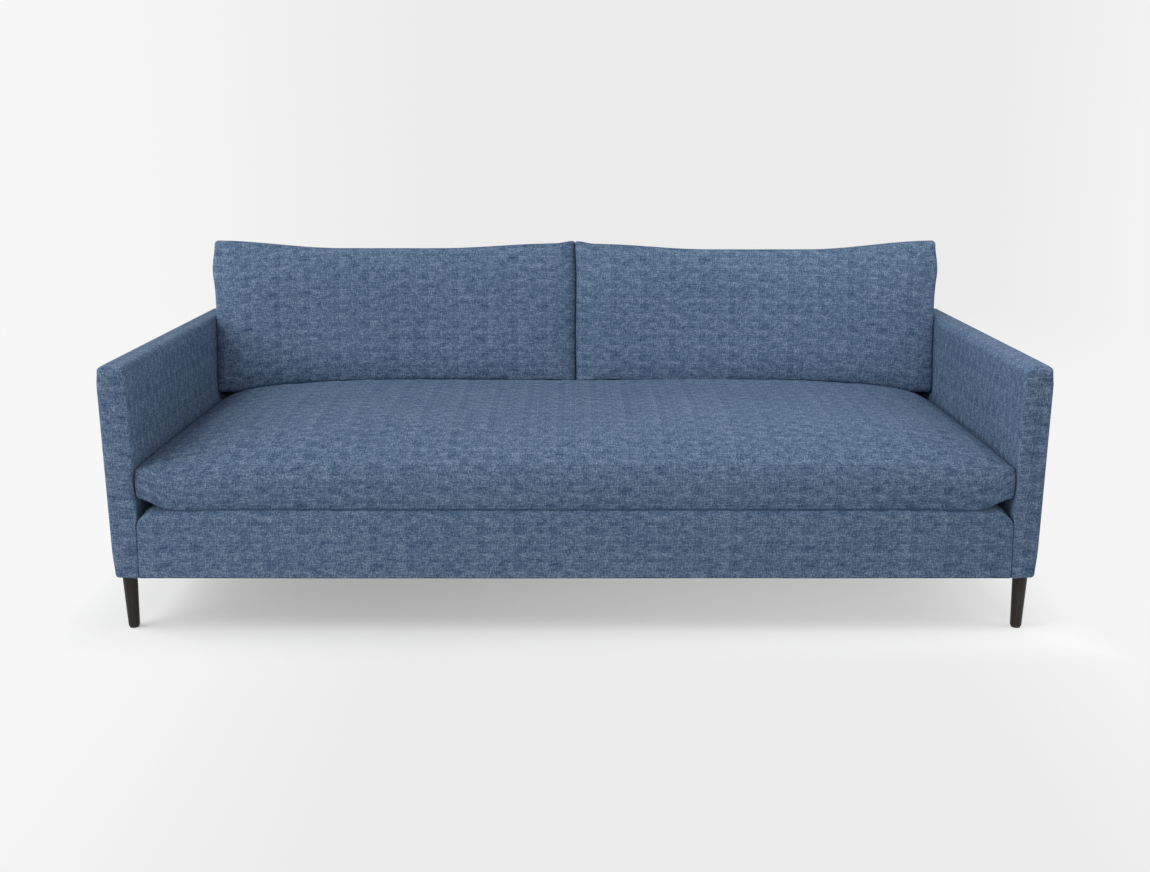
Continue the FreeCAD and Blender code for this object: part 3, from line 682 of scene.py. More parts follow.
def back_cushion_form(sign, inset=0.0, step=mesh_step, seam=0.0):
    """A back cushion, drawn as the right one and taken in by inset on every side. Sign is -1 for
    the left cushion, whose form is mirrored afterwards."""
    low = np.array([division_gap + inset, -back_thick + inset, inset])
    high = np.array([back_outer_x - inset, -inset, back_tall - inset])
    middle, half = (low[0] + high[0]) / 2, (high[0] - low[0]) / 2
    edges = [groove_z + side * (groove_half + inset + o) for side in (-1, 1) for o in (-0.003, 0.001)]
    form = box_form(low, high, step, end_offsets, edges)
    box = form.box
    radius = blend(back_round, back_inner_round, fade_out(box[:, 0] - low[0], 0.0, 0.05))
    x, y, z = softened(box, np.maximum(radius - inset / 2, 0.004), seam).T
    share = (x - middle) / half
    wide = np.sqrt(np.clip(1.0 - np.abs(share) ** back_crown_power, 0.0, 1.0))
    height_share = np.clip(z / back_tall, 0.0, 1.0)
    belly = 1 - np.abs(2 * height_share - 1) ** np.where(height_share < 0.5, *back_belly_powers)
    turned = back_left_turn * fade_in(-share, 0.93, 1.0) * (sign < 0)
    thick = back_thick - back_end_thin * (1 - wide) + back_crown * wide * belly - turned
    depth_share = y / -back_thick
    y = -thick * depth_share
    sag = top_drop(share, back_sag[sign])
    z = z - sag * np.clip((z - back_level_z) / (back_tall - back_level_z), 0, 1) ** 2
    droop = back_end_droop * fade_in(np.abs(share), *back_droop_shares) * depth_share
    z = z - droop * fade_out(z, 0.0, back_droop_z)
    bulge = back_end_bulge * np.exp(-((z - back_bulge_height) / back_bulge_reach) ** 2)
    bulge = bulge + back_arm_bulge * (1 - back_arm_loss_share * fade_in(z, *back_loss_zs))
    near_rear = (2 * depth_share - 1) ** 2 * (depth_share < 0.5)
    x = x + bulge * fade_in(x, high[0] - 0.06, high[0]) * (1 - 0.6 * near_rear)
    division = division_x(z) + division_bow * (1 - (2 * depth_share - 1) ** 2)
    x = x + sign * division * fade_out(x - low[0], 0.0, 0.10)
    from_groove = np.array([groove_half, half * groove_share])[:, None] + inset + 0.001
    from_groove = from_groove - np.abs([box[:, 2] - groove_z, x - middle])
    in_groove = fade_in(from_groove, 0.0, groove_edge).prod(0)
    y = y - groove_depth * in_groove * at_sides(box)[1][:, 1]
    form.places = leaned(x, y, z)
    return form


def pressed_on_seat(form, gap):
    """Lifts the points that would lie in the seat cushion onto its crown."""
    x, y, z = form.places.T
    over_seat = (y < seat_rear_y) & (np.abs(x) < seat_half)
    form.places[:, 2] = np.maximum(z, np.where(over_seat, seat_top(x, y) + gap, z))


def kept_off_arm(form, gap):
    """Holds the points beside the arm off its face. Above the arm they may swell over it."""
    x, y, z = form.places.T
    over_arm = over_arm_reach * fade_in(z, arm_high.z - over_arm_below, arm_high.z + over_arm_above)
    form.places[:, 0] = np.minimum(x, arm_low.x + arm_pressed(y, z) - gap + over_arm)


def add_back_cushion(side, sign):
    form = back_cushion_form(sign, seam=seam_depth)
    box = form.box
    at_low, at_high = at_sides(box)
    from_outside = box[:, 0].max() - box[:, 0]
    front = fade_in(-box[:, 1], 0.0, back_thick) * fade_in(from_outside, 0.0, 0.08)
    form.places[:, 1] += ripple(form.places, 5 + sign, 0.30, *cushion_wave) * front
    from_top = fade_in(box[:, 2].max() - box[:, 2], 0.004, 0.05)
    form = wrinkled(form, np.where(at_high[:, 1] | at_low[:, 0], 0.0, 0.15 + 0.85 * from_top))
    fill = back_cushion_form(sign, wrap_inset, fill_step)
    for soft, (seat_gap, arm_gap) in ((form, cover_gaps), (fill, fill_gaps)):
        pressed_on_seat(soft, seat_gap)
        kept_off_arm(soft, arm_gap)
    if sign < 0:
        form, fill = mirrored(form), mirrored(fill)
    body = "back_cushion_" + side
    add_piece(f"back_cushion_fabric_{side}", form, body, "sofa_fabric", f"back_cushion_cover_{side}",
              seed=46 + 5 * sign)
    add_piece(f"back_cushion_fibre_{side}", fill, body, "wadding", f"back_cushion_fill_{side}",
              seed=61)


# Arms

def round_drop(beyond, radius):
    """How far a rounded edge has come down where it is beyond metres past its start."""
    beyond = np.clip(beyond, 0.0, radius)
    return radius - np.sqrt(radius ** 2 - beyond ** 2)


def border_half(z):
    """Half the width of the front border at height z, without its rounded corners."""
    flare = (border_flare_low - border_flare_top) / (border_high.z - border_low.z)
    return border_flare_top + (border_high.z - z) * flare


def border_edge(z):
    """Half the width of the front border at height z, with its rounded top corners."""
    return border_half(z) - round_drop(z - (border_high.z - border_round), border_round)


def arm_pressed(y, z):
    """How far the back cushion presses into the arm's inner face."""
    along = fade_in(y, *arm_dent_ys) * fade_in(arm_high.y - y, 0.0, arm_edge)
    upward = fade_in(z, *arm_dent_zs) * fade_in(arm_high.z - z, 0.0, arm_dent_fade)
    return arm_dent * along * upward


def arm_pad_left(places):
    """Thickness of the arm's wadding, squeezed where the cushions press on it."""
    x, y, z = places.T
    squeezed = arm_pressed(y, z) + seat_end_swell * end_press(y, z)
    near = fade_out(np.abs(x), arm_low.x + 0.003, arm_low.x + arm_edge)
    return np.maximum(pad_t - squeezed * near, pad_least_t)[:, None]


def arm_form(inset=0.0):
    """The right arm's upholstery, open where the rails and the back join it."""
    low, high = np.array(arm_low) + inset, np.array(arm_high) - inset
    form = box_form(low, high, arm_steps, z_lines=(hem_z, border_high.z - border_round))
    x, y, z = form.box.T
    at_joint = fade_in(low[1] + arm_edge - y, 0, 0.01) * fade_in(low[0] + arm_edge - x, 0, 0.01)
    at_joint = at_joint * fade_in(border_high.z + 0.012 - z, 0.0, 0.02)
    at_rear = fade_in(y, high[1] - arm_edge, high[1] - 0.02)
    upper = fade_in(z, high[2] - arm_edge, high[2])
    behind_lip = fade_in(y - low[1], *arm_roll_reach)
    beside_back = fade_in(y, back_front_y - 0.03, back_front_y)
    inner_round = blend(arm_inner_round, arm_inner_roll, behind_lip)
    inner_round = blend(inner_round, arm_joint_round, beside_back)
    across = (x - low[0]) / (high[0] - low[0])
    radius = blend(inner_round, arm_outer_round, fade_in(across, 0.3, 0.7))
    radius = blend(arm_round, radius, upper)
    radius = blend(blend(radius, arm_joint_round, at_joint), arm_rear_round, at_rear)
    places = softened(form.box, np.maximum(radius - inset, 0.0015))
    x, y, z = places.T
    notch = np.maximum(border_edge(z) + skin_gap + 3 * inset - low[0], 0.0) * (z < border_high.z)
    notch_side = np.clip(1 - (x - low[0]) / arm_notch_reach, 0.0, 1.0)
    x = x + notch * (y < border_joint_y + 2 * inset + 0.001) * notch_side
    x = x + arm_pressed(y, z) * fade_out(x, low[0], low[0] + arm_edge)
    full = fade_in(z - low[2], *arm_side_fades[0]) * fade_in(high[2] - z, *arm_side_fades[1])
    outer = fade_in(x, (low[0] + high[0]) / 2, high[0])
    x = x + outer * full * (arm_side_bulge + ripple(places, 7, 0.42, *cover_wave))
    above_seat = fade_in(z, *arm_lean_zs) * fade_in(high[2] - z, 0.005, 0.05)
    x = x - arm_lean_in * fade_out(x, low[0], low[0] + 0.02) * above_seat * fade_out(y, *arm_lean_ys)
    press = (seat_end_swell + press_gap) * end_press(y, z)
    x = x + press * fade_out(x, low[0], low[0] + arm_edge)
    crown = arm_top_crown * (1 - (2 * (x - low[0]) / (high[0] - low[0]) - 1) ** 4)
    z = z + crown * upper * fade_in(y - low[1], 0.0, arm_edge) * fade_in(high[1] - y, 0.0, arm_edge)
    z = z - hem_lip * fade_in(low[1] + 0.014 - y, 0.0, 0.006) * fade_in(low[2] + 0.10 - z, 0.0, 0.09)
    form.places = np.stack([x, y, z], 1)
    inner, outer, _, _, under, _ = form.panels
    inner.turned = outer.turned = True
    x, y, z = np.moveaxis(cell_centres(form, inner), 2, 0)
    behind_border, behind_back = y > border_joint_y + 0.006, y > slope_y(z, 0.0204)
    inner.kept = ~(behind_border & ((z < hem_z) | behind_back)) | (z > arm_high.z - 0.012)
    x, y, z = np.moveaxis(cell_centres(form, under), 2, 0)
    under.kept = ~((x < arm_low.x + 0.0105) & (y > border_joint_y))
    return form


def add_arms():
    cover, pad = arm_form(), arm_form(under_cloth)
    for side, seed in (("left", 71), ("right", 81)):
        made = [mirrored(f) if side == "left" else f for f in (cover, pad)]
        add_piece(f"arm_fabric_{side}", made[0], "frame", "sofa_fabric", f"arm_cover_{side}",
                  cloth_t, seed)
        add_piece(f"arm_wadding_{side}", made[1], "frame", "wadding", f"arm_pad_{side}",
                  arm_pad_left(made[1].places), seed)


# Front border and deck

def border_form(inset=0.0, rear_y=None):
    """The front border: a strip from the hem under its bottom, up the front and over the deck."""
    front, low, high = border_low.y + inset, border_low.z + inset, border_high.z - inset
    rear = border_high.y if rear_y is None else rear_y
    profile = rounded_path([(border_low.y + border_hem, low), (front, low), (front, high), (rear, high)],
                           [border_end_round, border_roll], border_step)
    us = line_places(-1.0, 1.0, border_step_share, border_offset_shares)
    us = np.concatenate([[us[0]], us, [us[-1]]])
    u, t = np.meshgrid(us, np.arange(len(profile)), indexing="ij")
    y, z = profile[t, 0], profile[t, 1]
    share = (z - low) / (high - low)
    behind = fade_in(y, front + 0.002, front + 0.009) * (share > 0.5)
    edge = blend(border_half(z), deck_high.x, behind) - 1.5 * inset
    radius = border_round - inset
    z = low + share * (high - low - round_drop(np.abs(u * edge) - (edge - radius), radius))
    x = u * np.where(behind > 0, edge, border_half(z) - 1.5 * inset)
    y = y + round_drop(border_end_round - edge * (1 - np.abs(u)), border_end_round) * (1 - behind)
    for end in (0, -1):
        y[end] += border_end_draw * (1 - behind[end])
    z = z - front_lip(x, y - inset) * fade_in(z, *front_side_zs)
    z = z - hem_lip * fade_in(border_joint_y - 0.004 - y, 0.0, 0.005) * fade_in(low + 0.08 - z, 0.0, 0.07)
    swell = ripple(np.stack([x, 0 * x, z], -1).reshape(-1, 3), 9, 0.35, *cover_wave).reshape(share.shape)
    bulge = border_bulge * np.clip(4 * share * (1 - share), 0.0, 1.0) + swell * (share < 0.98)
    y = y - bulge * (1 - behind) * fade_in(1 - np.abs(u), 0.0, 0.03)
    return strip_form(np.stack([x, y, z], -1))


def add_border():
    add_piece("front_border_fabric", border_form(), "frame", "sofa_fabric", "front_border_cover", cloth_t,
              91)
    pad = border_form(border_pad_inset, border_low.y + border_pad_depth)
    add_piece("front_border_wadding", pad, "frame", "wadding", "front_border_pad", border_pad_t, 92)


def deck_grid(inset, front_y, rear_y):
    """The deck's cloth or wadding, from its left hem over the top to the right one."""
    half, top, radius = deck_high.x - inset, deck_high.z - inset, border_round - inset
    line = rounded_path([(-half, hem_z), (-half, top), (half, top), (half, hem_z)], [radius] * 2, deck_step)
    y, t = np.meshgrid(line_places(front_y, rear_y, deck_step, (0.0, 0.006)), np.arange(len(line)))
    places = np.stack([line[t, 0], y, line[t, 1]], -1)
    drop = np.abs(ripple(places.reshape(-1, 3), 13, 0.24, deck_sink)).reshape(y.shape)
    away = fade_in(np.minimum(y - front_y, rear_y - y), 0.0, 0.05)
    places[..., 2] -= drop * away * (places[..., 2] > deck_high.z - 0.02)
    places[..., 2] -= front_lip(places[..., 0], y) * fade_in(places[..., 2], *front_side_zs)
    return strip_form(places)


def add_deck():
    cover = deck_grid(0.0, deck_low.y, deck_high.y)
    add_piece("deck_cloth_panel", cover, "frame", "deck_cloth", "deck_cover", cloth_t, 101)
    pad_low, pad_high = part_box("deck_pad")
    pad = deck_grid(under_cloth, pad_low.y, pad_high.y)
    add_piece("deck_wadding", pad, "frame", "wadding", "deck_pad", deck_pad_t, 102)


# Back

def back_strip(inset, radii, *more_points):
    """A cloth up the leaning inside back and over its top, then on through more (y, z) points."""
    low_z, top, rear = lining_low.z, lining_high.z - inset, lining_high.y - inset
    profile = rounded_path([(slope_y(low_z, inset), low_z), (slope_y(top, inset), top), (rear, top),
                            *more_points], radii, lining_step)
    xs = line_places(lining_low.x, lining_high.x, lining_across_step)
    x, t = np.meshgrid(xs, np.arange(len(profile)), indexing="ij")
    return np.stack([x, profile[t, 0], profile[t, 1]], -1)


def add_inside_back():
    top, rear = lining_high.z, lining_high.y
    places = back_strip(0.0, [back_edge_round] * 2, (rear, top - back_hem))
    swell = np.abs(ripple(places.reshape(-1, 3), 17, 0.35, lining_wave)).reshape(places.shape[:2])
    on_face = fade_in(top - places[..., 2], 0.02, 0.08)
    places[..., 1] += swell * on_face * (places[..., 1] < rear - 0.03)
    add_piece("inside_back_fabric", strip_form(places), "frame", "sofa_fabric", "inside_back_cover",
              cloth_t, 111)
    pad = strip_form(back_strip(under_cloth, [back_edge_round - under_cloth]))
    add_piece("inside_back_wadding", pad, "frame", "wadding", "back_pad", pad_t, 112)


def add_outside_back():
    low, high = (np.array(corner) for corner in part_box("outside_back_cover"))
    form = box_form(low, high, outside_step)
    x, _, z = form.box.T
    at_rear = at_sides(form.box)[1][:, 1]
    edge = np.minimum(high[0] - np.abs(x), np.minimum(z - low[2], high[2] - z))
    swell = np.maximum(outside_swell + ripple(form.box, 19, 0.33, outside_wave), 0.0)
    drawn = outside_edge_draw * fade_out(edge, 0.0, 0.004)
    form.places[:, 1] += at_rear * (swell * fade_in(edge, 0.004, 0.05) - drawn)
    add_piece("outside_back_fabric", form, "frame", "sofa_fabric", "outside_back_cover", 0.0, 121)


# Underside

def add_dust_cover():
    """The dust cover, which sags between its staples and is pulled in round the centre leg."""
    low, high = (np.array(corner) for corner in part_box("dust_cover"))
    around = [s * r * leg_hole for r in (1, 1.5, 2.2, 3) for s in (-1, 1)]
    x, y = np.meshgrid(*(with_lines(line_places(low[k], high[k], dust_step, (0.0, 0.012)), around, 0.012)
                         for k in (0, 1)), indexing="ij")
    square, from_leg = np.maximum(np.abs(x), np.abs(y)), np.hypot(x, y)
    pull = fade_out(square, leg_hole * 1.05, leg_hole * 2.9)
    factor = 1 + (square / np.maximum(from_leg, 1e-9) - 1) * pull
    edge = np.minimum(np.minimum(high[0] - x, x - low[0]), np.minimum(high[1] - y, y - low[1]))
    sag = dust_sag * fade_in(edge, 0.0, 0.16) * fade_in(from_leg, 0.02, 0.16)
    places = np.stack([x * factor, y * factor, np.full(x.shape, high[2])], -1)
    fold = ripple(places.reshape(-1, 3), 23, 0.16, dust_fold).reshape(x.shape)
    places[..., 2] -= sag + np.abs(fold) * fade_in(edge, 0.0, 0.04)
    form = strip_form(places)
    centre = cell_centres(form, form.panels[0])
    form.panels[0].kept = np.hypot(centre[..., 0], centre[..., 1]) > leg_hole * 0.75
    piece = add_piece("dust_cover_sheet", form, "frame", "dust_cloth", "dust_cover", 0.001, 131)


# Springs

def zigzag(start, turn):
    """The (x, y) points of a zigzag spring whose bars lie two turns apart."""
    line = []
    for k in range(spring_bars + 1):
        side = 1 if k % 2 == 0 else -1
        y = start + 2 * turn * k
        line += [(-side * spring_bar / 2, y), (side * spring_bar / 2, y)]
        if k < spring_bars:
            line += [(side * (spring_bar / 2 + turn * math.sin(a)), y + turn * (1 - math.cos(a)))
                     for a in np.linspace(0, math.pi, 9)[1:-1]]
    return np.array(line)


def add_springs():
    """Zigzag springs as smooth tubes of the CAD springs' size."""
    radius = (spring_high.z - spring_low.z) / 2
    start, end = spring_low.y + radius, spring_high.y - radius
    turn = (end - start) / (2 * spring_bars)
    line = zigzag(start, turn)
    ahead = np.gradient(line, axis=0)
    ahead /= np.linalg.norm(ahead, axis=1, keepdims=True)
    sideways = np.stack([-ahead[:, 1], ahead[:, 0]], 1)
    sides = 8
    angle = 2 * math.pi * np.arange(sides) / sides
    flat = line[:, None, :] + sideways[:, None, :] * (radius * np.cos(angle))[None, :, None]
    height = np.broadcast_to((spring_high.z + spring_low.z) / 2 + radius * np.sin(angle), flat.shape[:2])
    tube = np.concatenate([flat, height[..., None]], -1).reshape(-1, 3)
    numbers = np.arange(len(tube)).reshape(-1, sides)
    first, last = numbers[0], numbers[-1]
    caps = [first[[0, 1, 2, 3]], first[[0, 3, 4, 7]], first[[4, 5, 6, 7]],
            last[[3, 2, 1, 0]], last[[7, 4, 3, 0]], last[[7, 6, 5, 4]]]
    faces = np.concatenate([cells(numbers[:, np.arange(sides + 1) % sides]).reshape(-1, 4), caps])
    outer_x = spring_high.x - spring_bar / 2 - turn - radius
    xs = np.linspace(-outer_x, outer_x, spring_count)
    mesh = mesh_of("seat_spring_wires", np.concatenate([tube + (x, 0, 0) for x in xs]),
                   np.concatenate([faces + k * len(tube) for k in range(spring_count)]))
    put_in_frame("seat_spring_wires", mesh, "frame", "spring_steel", "seat_springs")


# Finishes

class Wire:
    """A value in a material. Sums and products with wires and numbers add nodes to it."""

    def __init__(self, socket):
        self.socket = socket
        self.tree = socket.id_data

    def math(self, operation, *others):
        inputs = dict(enumerate((self,) + others))
        return new_node(self.tree, "Math", inputs, operation=operation)

    def __add__(self, other):
        return self.math("ADD", other)

    def __sub__(self, other):
        return self.math("SUBTRACT", other)

    def __mul__(self, other):
        return self.math("MULTIPLY", other)

    def step(self, low, high):
        """0 below low and 1 above high, smooth between."""
        inputs = {"Value": self, "From Min": low, "From Max": high}
        return new_node(self.tree, "MapRange", inputs, interpolation_type="SMOOTHSTEP")

    def wave(self, length):
        """A sine wave of this length along the value."""
        return (self * (2 * math.pi / length)).math("SINE")


def join(value, socket):
    """Links a wire to a socket, or sets the socket to a value."""
    if isinstance(value, Wire):
        value.tree.links.new(value.socket, socket)
    else:
        socket.default_value = value


def new_node(tree, kind, inputs, output=0, **settings):
    """Adds a node, fills its inputs in and gives back one of its outputs."""
    node = tree.nodes.new("ShaderNode" + kind)
    for name, value in settings.items():
        setattr(node, name, value)
    for name, value in inputs.items():
        join(value, node.inputs[name])
    return Wire(node.outputs[output])


def noise(places, scale, detail=2.0, roughness=0.5):
    """Noise of one value. Scale is one number, or one for each axis."""
    scales = scale if isinstance(scale, tuple) else (scale,) * 3
    vector = new_node(places.tree, "Mapping", {"Vector": places, "Scale": scales})
    inputs = {"Vector": vector, "Scale": 1.0, "Detail": detail, "Roughness": roughness}
    return new_node(places.tree, "TexNoise", inputs, "Fac")


def split(vector):
    """The three parts of a vector."""
    first = new_node(vector.tree, "SeparateXYZ", {0: vector})
    return [Wire(output) for output in first.socket.node.outputs]


def joined(*parts):
    """A vector from three parts."""
    return new_node(parts[0].tree, "CombineXYZ", dict(enumerate(parts)))


def grey(tone):
    """A colour whose parts are all the tone."""
    return joined(tone, tone, tone)


def linear(*values):
    """A colour written as 0..255 display values, made linear."""
    shares = [v / 255 for v in values]
    return tuple(s / 12.92 if s <= 0.04045 else ((s + 0.055) / 1.055) ** 2.4 for s in shares)


def finished(tone, stops, rough, height, strength, distance, more=()):
    """Gives the shader colours along a tone, from (place, colour) stops, roughness, relief and more."""
    colour = new_node(tone.tree, "ValToRGB", {"Fac": tone}, "Color")
    points = colour.socket.node.color_ramp.elements
    while len(points) < len(stops):
        points.new(0.5)
    for point, (place, shade) in zip(points, stops):
        point.position = place
        point.color = (*shade, 1.0)
    bump = {"Strength": strength, "Distance": distance, "Height": height}
    inputs = {"Base Color": colour, "Roughness": rough, "Normal": new_node(tone.tree, "Bump", bump)}
    for name, value in {**inputs, **dict(more)}.items():
        join(value, tone.tree.nodes["Principled BSDF"].inputs[name])


def cloth_places(tree):
    return new_node(tree, "Attribute", {}, "Vector", attribute_name="cloth")


def object_places(tree):
    return new_node(tree, "TexCoord", {}, "Object")


def yarns(x, y, pitch):
    """Height of a plain weave: round yarns that pass over and under each other."""
    across, along = x.wave(2 * pitch), y.wave(2 * pitch)
    over = (across * along).math("GREATER_THAN", 0.0)
    rise = across.math("ABSOLUTE")
    fall = along.math("ABSOLUTE")
    return rise + (fall - rise) * over


def repeated(x, y, across, up):
    """Places on two circles, so that noise over them repeats after across and up metres."""
    places = []
    for value, length in ((x, across), (y, up)):
        turn, radius = value * (2 * math.pi / length), length / (2 * math.pi)
        places += [turn.math("COSINE") * radius, turn.math("SINE") * radius]
    return places


def repeated_noise(circles, scale_x, scale_y, start):
    """Noise that repeats with its circles. Start picks another part of the noise."""
    vector = joined(circles[0] * scale_x + start, circles[1] * scale_x, circles[2] * scale_y)
    inputs = {"Vector": vector, "W": circles[3] * scale_y, "Scale": 1.0, "Detail": 1.0, "Roughness": 0.5}
    return new_node(vector.tree, "TexNoise", inputs, "Fac", noise_dimensions="4D")


def woven_parts(cloth):
    """The parts that the cloth's tone is made of, each with its share: first those that the weave
    repeats, then loose ones that follow no repeat."""
    x, y, _ = split(cloth)
    circles = repeated(x, y, weave_across, weave_up)
    sway = noise(cloth, (9.0, 31.0, 7.0), 1.0) * 3.0
    rise = noise(cloth, (23.0, 14.0, 3.0), 1.0) * 2.4
    crest_x = (x * (2 * math.pi / weave_across) + sway).math("COSINE").step(0.0, 0.9)
    crest_y = (y * (2 * math.pi / weave_up) + rise).math("COSINE").step(0.68, 1.0)
    fade = noise(cloth, (30.0, 70.0, 11.0), 1.0).step(0.30, 0.62)
    return [
        (repeated_noise(circles, 70.0, 400.0, 23.0), 0.74),
        (repeated_noise(circles, 420.0, 110.0, 37.0), 0.56),
        (crest_x * crest_y * fade, -0.13),
        (noise(cloth, (330.0, 350.0, 17.0), 2.0, 0.7), 1.05),
        (noise(cloth, (80.0, 330.0, 5.0)), 0.20),
        (noise(cloth, (330.0, 90.0, 23.0)), 0.56),
        (noise(cloth, (32.0, 66.0, 29.0), 1.0), 0.42),
    ]


def sofa_fabric(cloth):
    """Heathered blue cloth: mottling, dark weft dashes and pale slubs that the weave repeats, and
    loose fibres between them."""
    x, y, _ = split(cloth)
    tone = noise(cloth, (5.0, 7.0, 5.0), 1.0) * 0.10 + 0.45
    for part, share in woven_parts(cloth):
        tone = tone + (part - 0.5 * (share > 0)) * share
    finished(tone, [(0.15, linear(46, 69, 101)), (0.5, linear(91, 113, 140)), (0.85, linear(143, 160, 181))],
             tone * 0.12 + 0.80, yarns(x, y, yarn_pitch) * 0.5 + tone * 1.2, 0.5, 0.0007,
             {"Specular IOR Level": 0.10, "Sheen Weight": 0.03, "Sheen Roughness": 0.45,
              "Sheen Tint": (0.62, 0.72, 0.85, 1.0)})


def deck_cloth(cloth):
    """Plain denim-blue deck cloth, a finer and flatter weave."""
    x, y, _ = split(cloth)
    tone = noise(cloth, (400.0, 400.0, 5.0), 2.0, 0.7) + noise(cloth, (11.0, 11.0, 5.0))
    finished(tone * 0.5, [(0.3, linear(52, 68, 92)), (0.7, linear(94, 112, 138))],
             tone * 0.08 + 0.82, yarns(x, y, deck_yarn_pitch) + tone * 0.5, 0.4, 0.0004,
             {"Specular IOR Level": 0.2})


def dust_cloth(cloth):
    """Black non-woven cloth with its pressed dots."""
    x, y, _ = split(cloth)
    fibres = noise(cloth, (240.0, 700.0, 5.0), 3.0, 0.7)
    dot_x, dot_y = ((v * (1 / dot_pitch)).math("FRACT") - 0.5 for v in (x, y))
    dot = (dot_x * dot_x + dot_y * dot_y).step(0.035, 0.075)
    finished(fibres * 0.7 + dot * 0.2, [(0.2, (0.012, 0.012, 0.013)), (0.85, (0.05, 0.05, 0.053))],
             fibres * 0.2 + 0.7, fibres + dot, 0.5, 0.0004)


def timber(places, scales):
    """Sawn hardwood, its grain along the axis whose scale is least."""
    rings = noise(places, scales, 3.0, 0.6)
    pores = noise(places, tuple(s * 9 for s in scales), 2.0, 0.6)
    tone = rings * 0.62 + pores * 0.22 + noise(places, 3.0, 1.0) * 0.16
    finished(tone, [(0.3, (0.36, 0.22, 0.115)), (0.52, (0.56, 0.39, 0.225)), (0.72, (0.70, 0.53, 0.34))],
             tone * 0.3 + 0.5, rings + pores * 0.6, 0.4, 0.0005)


def panel_board(places):
    """Plain pressed board with short fibres."""
    fibres = noise(places, (160.0, 420.0, 420.0), 3.0, 0.7)
    tone = fibres * 0.6 + noise(places, 8.0) * 0.4
    finished(tone, [(0.3, (0.34, 0.23, 0.13)), (0.7, (0.56, 0.42, 0.27))],
             fibres * 0.2 + 0.65, fibres, 0.3, 0.0004)


def leg_timber(places):
    """Nearly black stain on turned wood: the grain still shows, and the foot is a little worn."""
    grain = noise(places, (150.0, 150.0, 9.0), 4.0, 0.65)
    broad = noise(places, (22.0, 22.0, 4.0))
    foot = split(places)[2].step(0.012, 0.004) * noise(places, 160.0)
    tone = grain * 0.7 + broad * 0.3 + foot * 0.25
    finished(tone, [(0.32, linear(14, 9, 7)), (0.55, linear(24, 17, 13)), (0.8, linear(58, 42, 31))],
             grain * 0.25 + 0.38, grain, 0.25, 0.0003,
             {"Specular IOR Level": 0.30, "Coat Weight": 0.08, "Coat Roughness": 0.30})


def metal(places, dark, light, roughness, scale):
    """Bare or plated steel with drawing marks and stains."""
    marks, stain = noise(places, scale, 3.0, 0.6), noise(places, 30.0, 3.0)
    finished(marks * 0.4 + stain * 0.6, [(0.3, dark), (0.7, light)],
             stain * 0.25 + roughness, marks, 0.15, 0.0002, {"Metallic": 1.0})


def glide_plastic(places):
    """Moulded black plastic with a fine matt grain, rubbed where it meets the floor."""
    grain = noise(places, 1400.0, 1.0)
    rubbed = split(places)[2].step(0.0012, 0.0) * noise(places, (500.0, 500.0, 10.0))
    finished(grain * 0.4 + rubbed * 0.6, [(0.1, (0.028, 0.028, 0.03)), (0.8, (0.09, 0.09, 0.09))],
             grain * 0.2 + 0.42, grain, 0.2, 0.0002)


def webbing(places, along_x):
    """Elastic webbing: a ribbed weave with two darker lines along it."""
    x, _, z = split(places)
    along, across = (x, z) if along_x else (z, x)
    ribs, cords = along.wave(rib_pitch), across.wave(cord_pitch)
    wear = noise(places, 60.0, 3.0, 0.6)
    tone = ribs * 0.12 + cords * 0.10 + wear * 0.6 + 0.2
    finished(tone, [(0.25, (0.20, 0.15, 0.09)), (0.75, (0.50, 0.42, 0.29))],
             wear * 0.2 + 0.7, ribs + cords, 0.4, 0.0004)


def wadding(places):
    """White polyester fibre: a soft tangle with thin places."""
    tangle = noise(places, 120.0, 4.0, 0.75)
    tone = tangle * 0.5 + noise(places, 14.0) * 0.5
    finished(tone, [(0.3, (0.62, 0.62, 0.60)), (0.65, (0.86, 0.86, 0.84))],
             tangle * 0.1 + 0.88, tangle, 0.7, 0.002, {"Sheen Weight": 0.3})


def foam(places):
    """Open-cell foam, cream, with its pores."""
    pores = new_node(places.tree, "TexVoronoi", {"Vector": places, "Scale": 900.0}, "Distance")
    tone = pores * 0.5 + noise(places, 7.0) * 0.5
    finished(tone, [(0.15, (0.58, 0.47, 0.26)), (0.6, (0.82, 0.74, 0.52))],
             pores * 0.1 + 0.85, pores, 0.5, 0.0008)


def zip_tape(places):
    """Zip tape and its coil: a fine herringbone, with teeth drawn across the chain by relief."""
    x, _, z = split(places)
    teeth, twill = x.wave(tooth_pitch), (x + z).wave(twill_pitch)
    wear = noise(places, 90.0)
    tone = teeth * 0.16 + twill * 0.07 + wear * 0.5 + 0.25
    finished(tone, [(0.2, linear(38, 52, 76)), (0.8, linear(86, 104, 132))],
             wear * 0.2 + 0.55, teeth + twill * 0.4, 0.6, 0.0005)


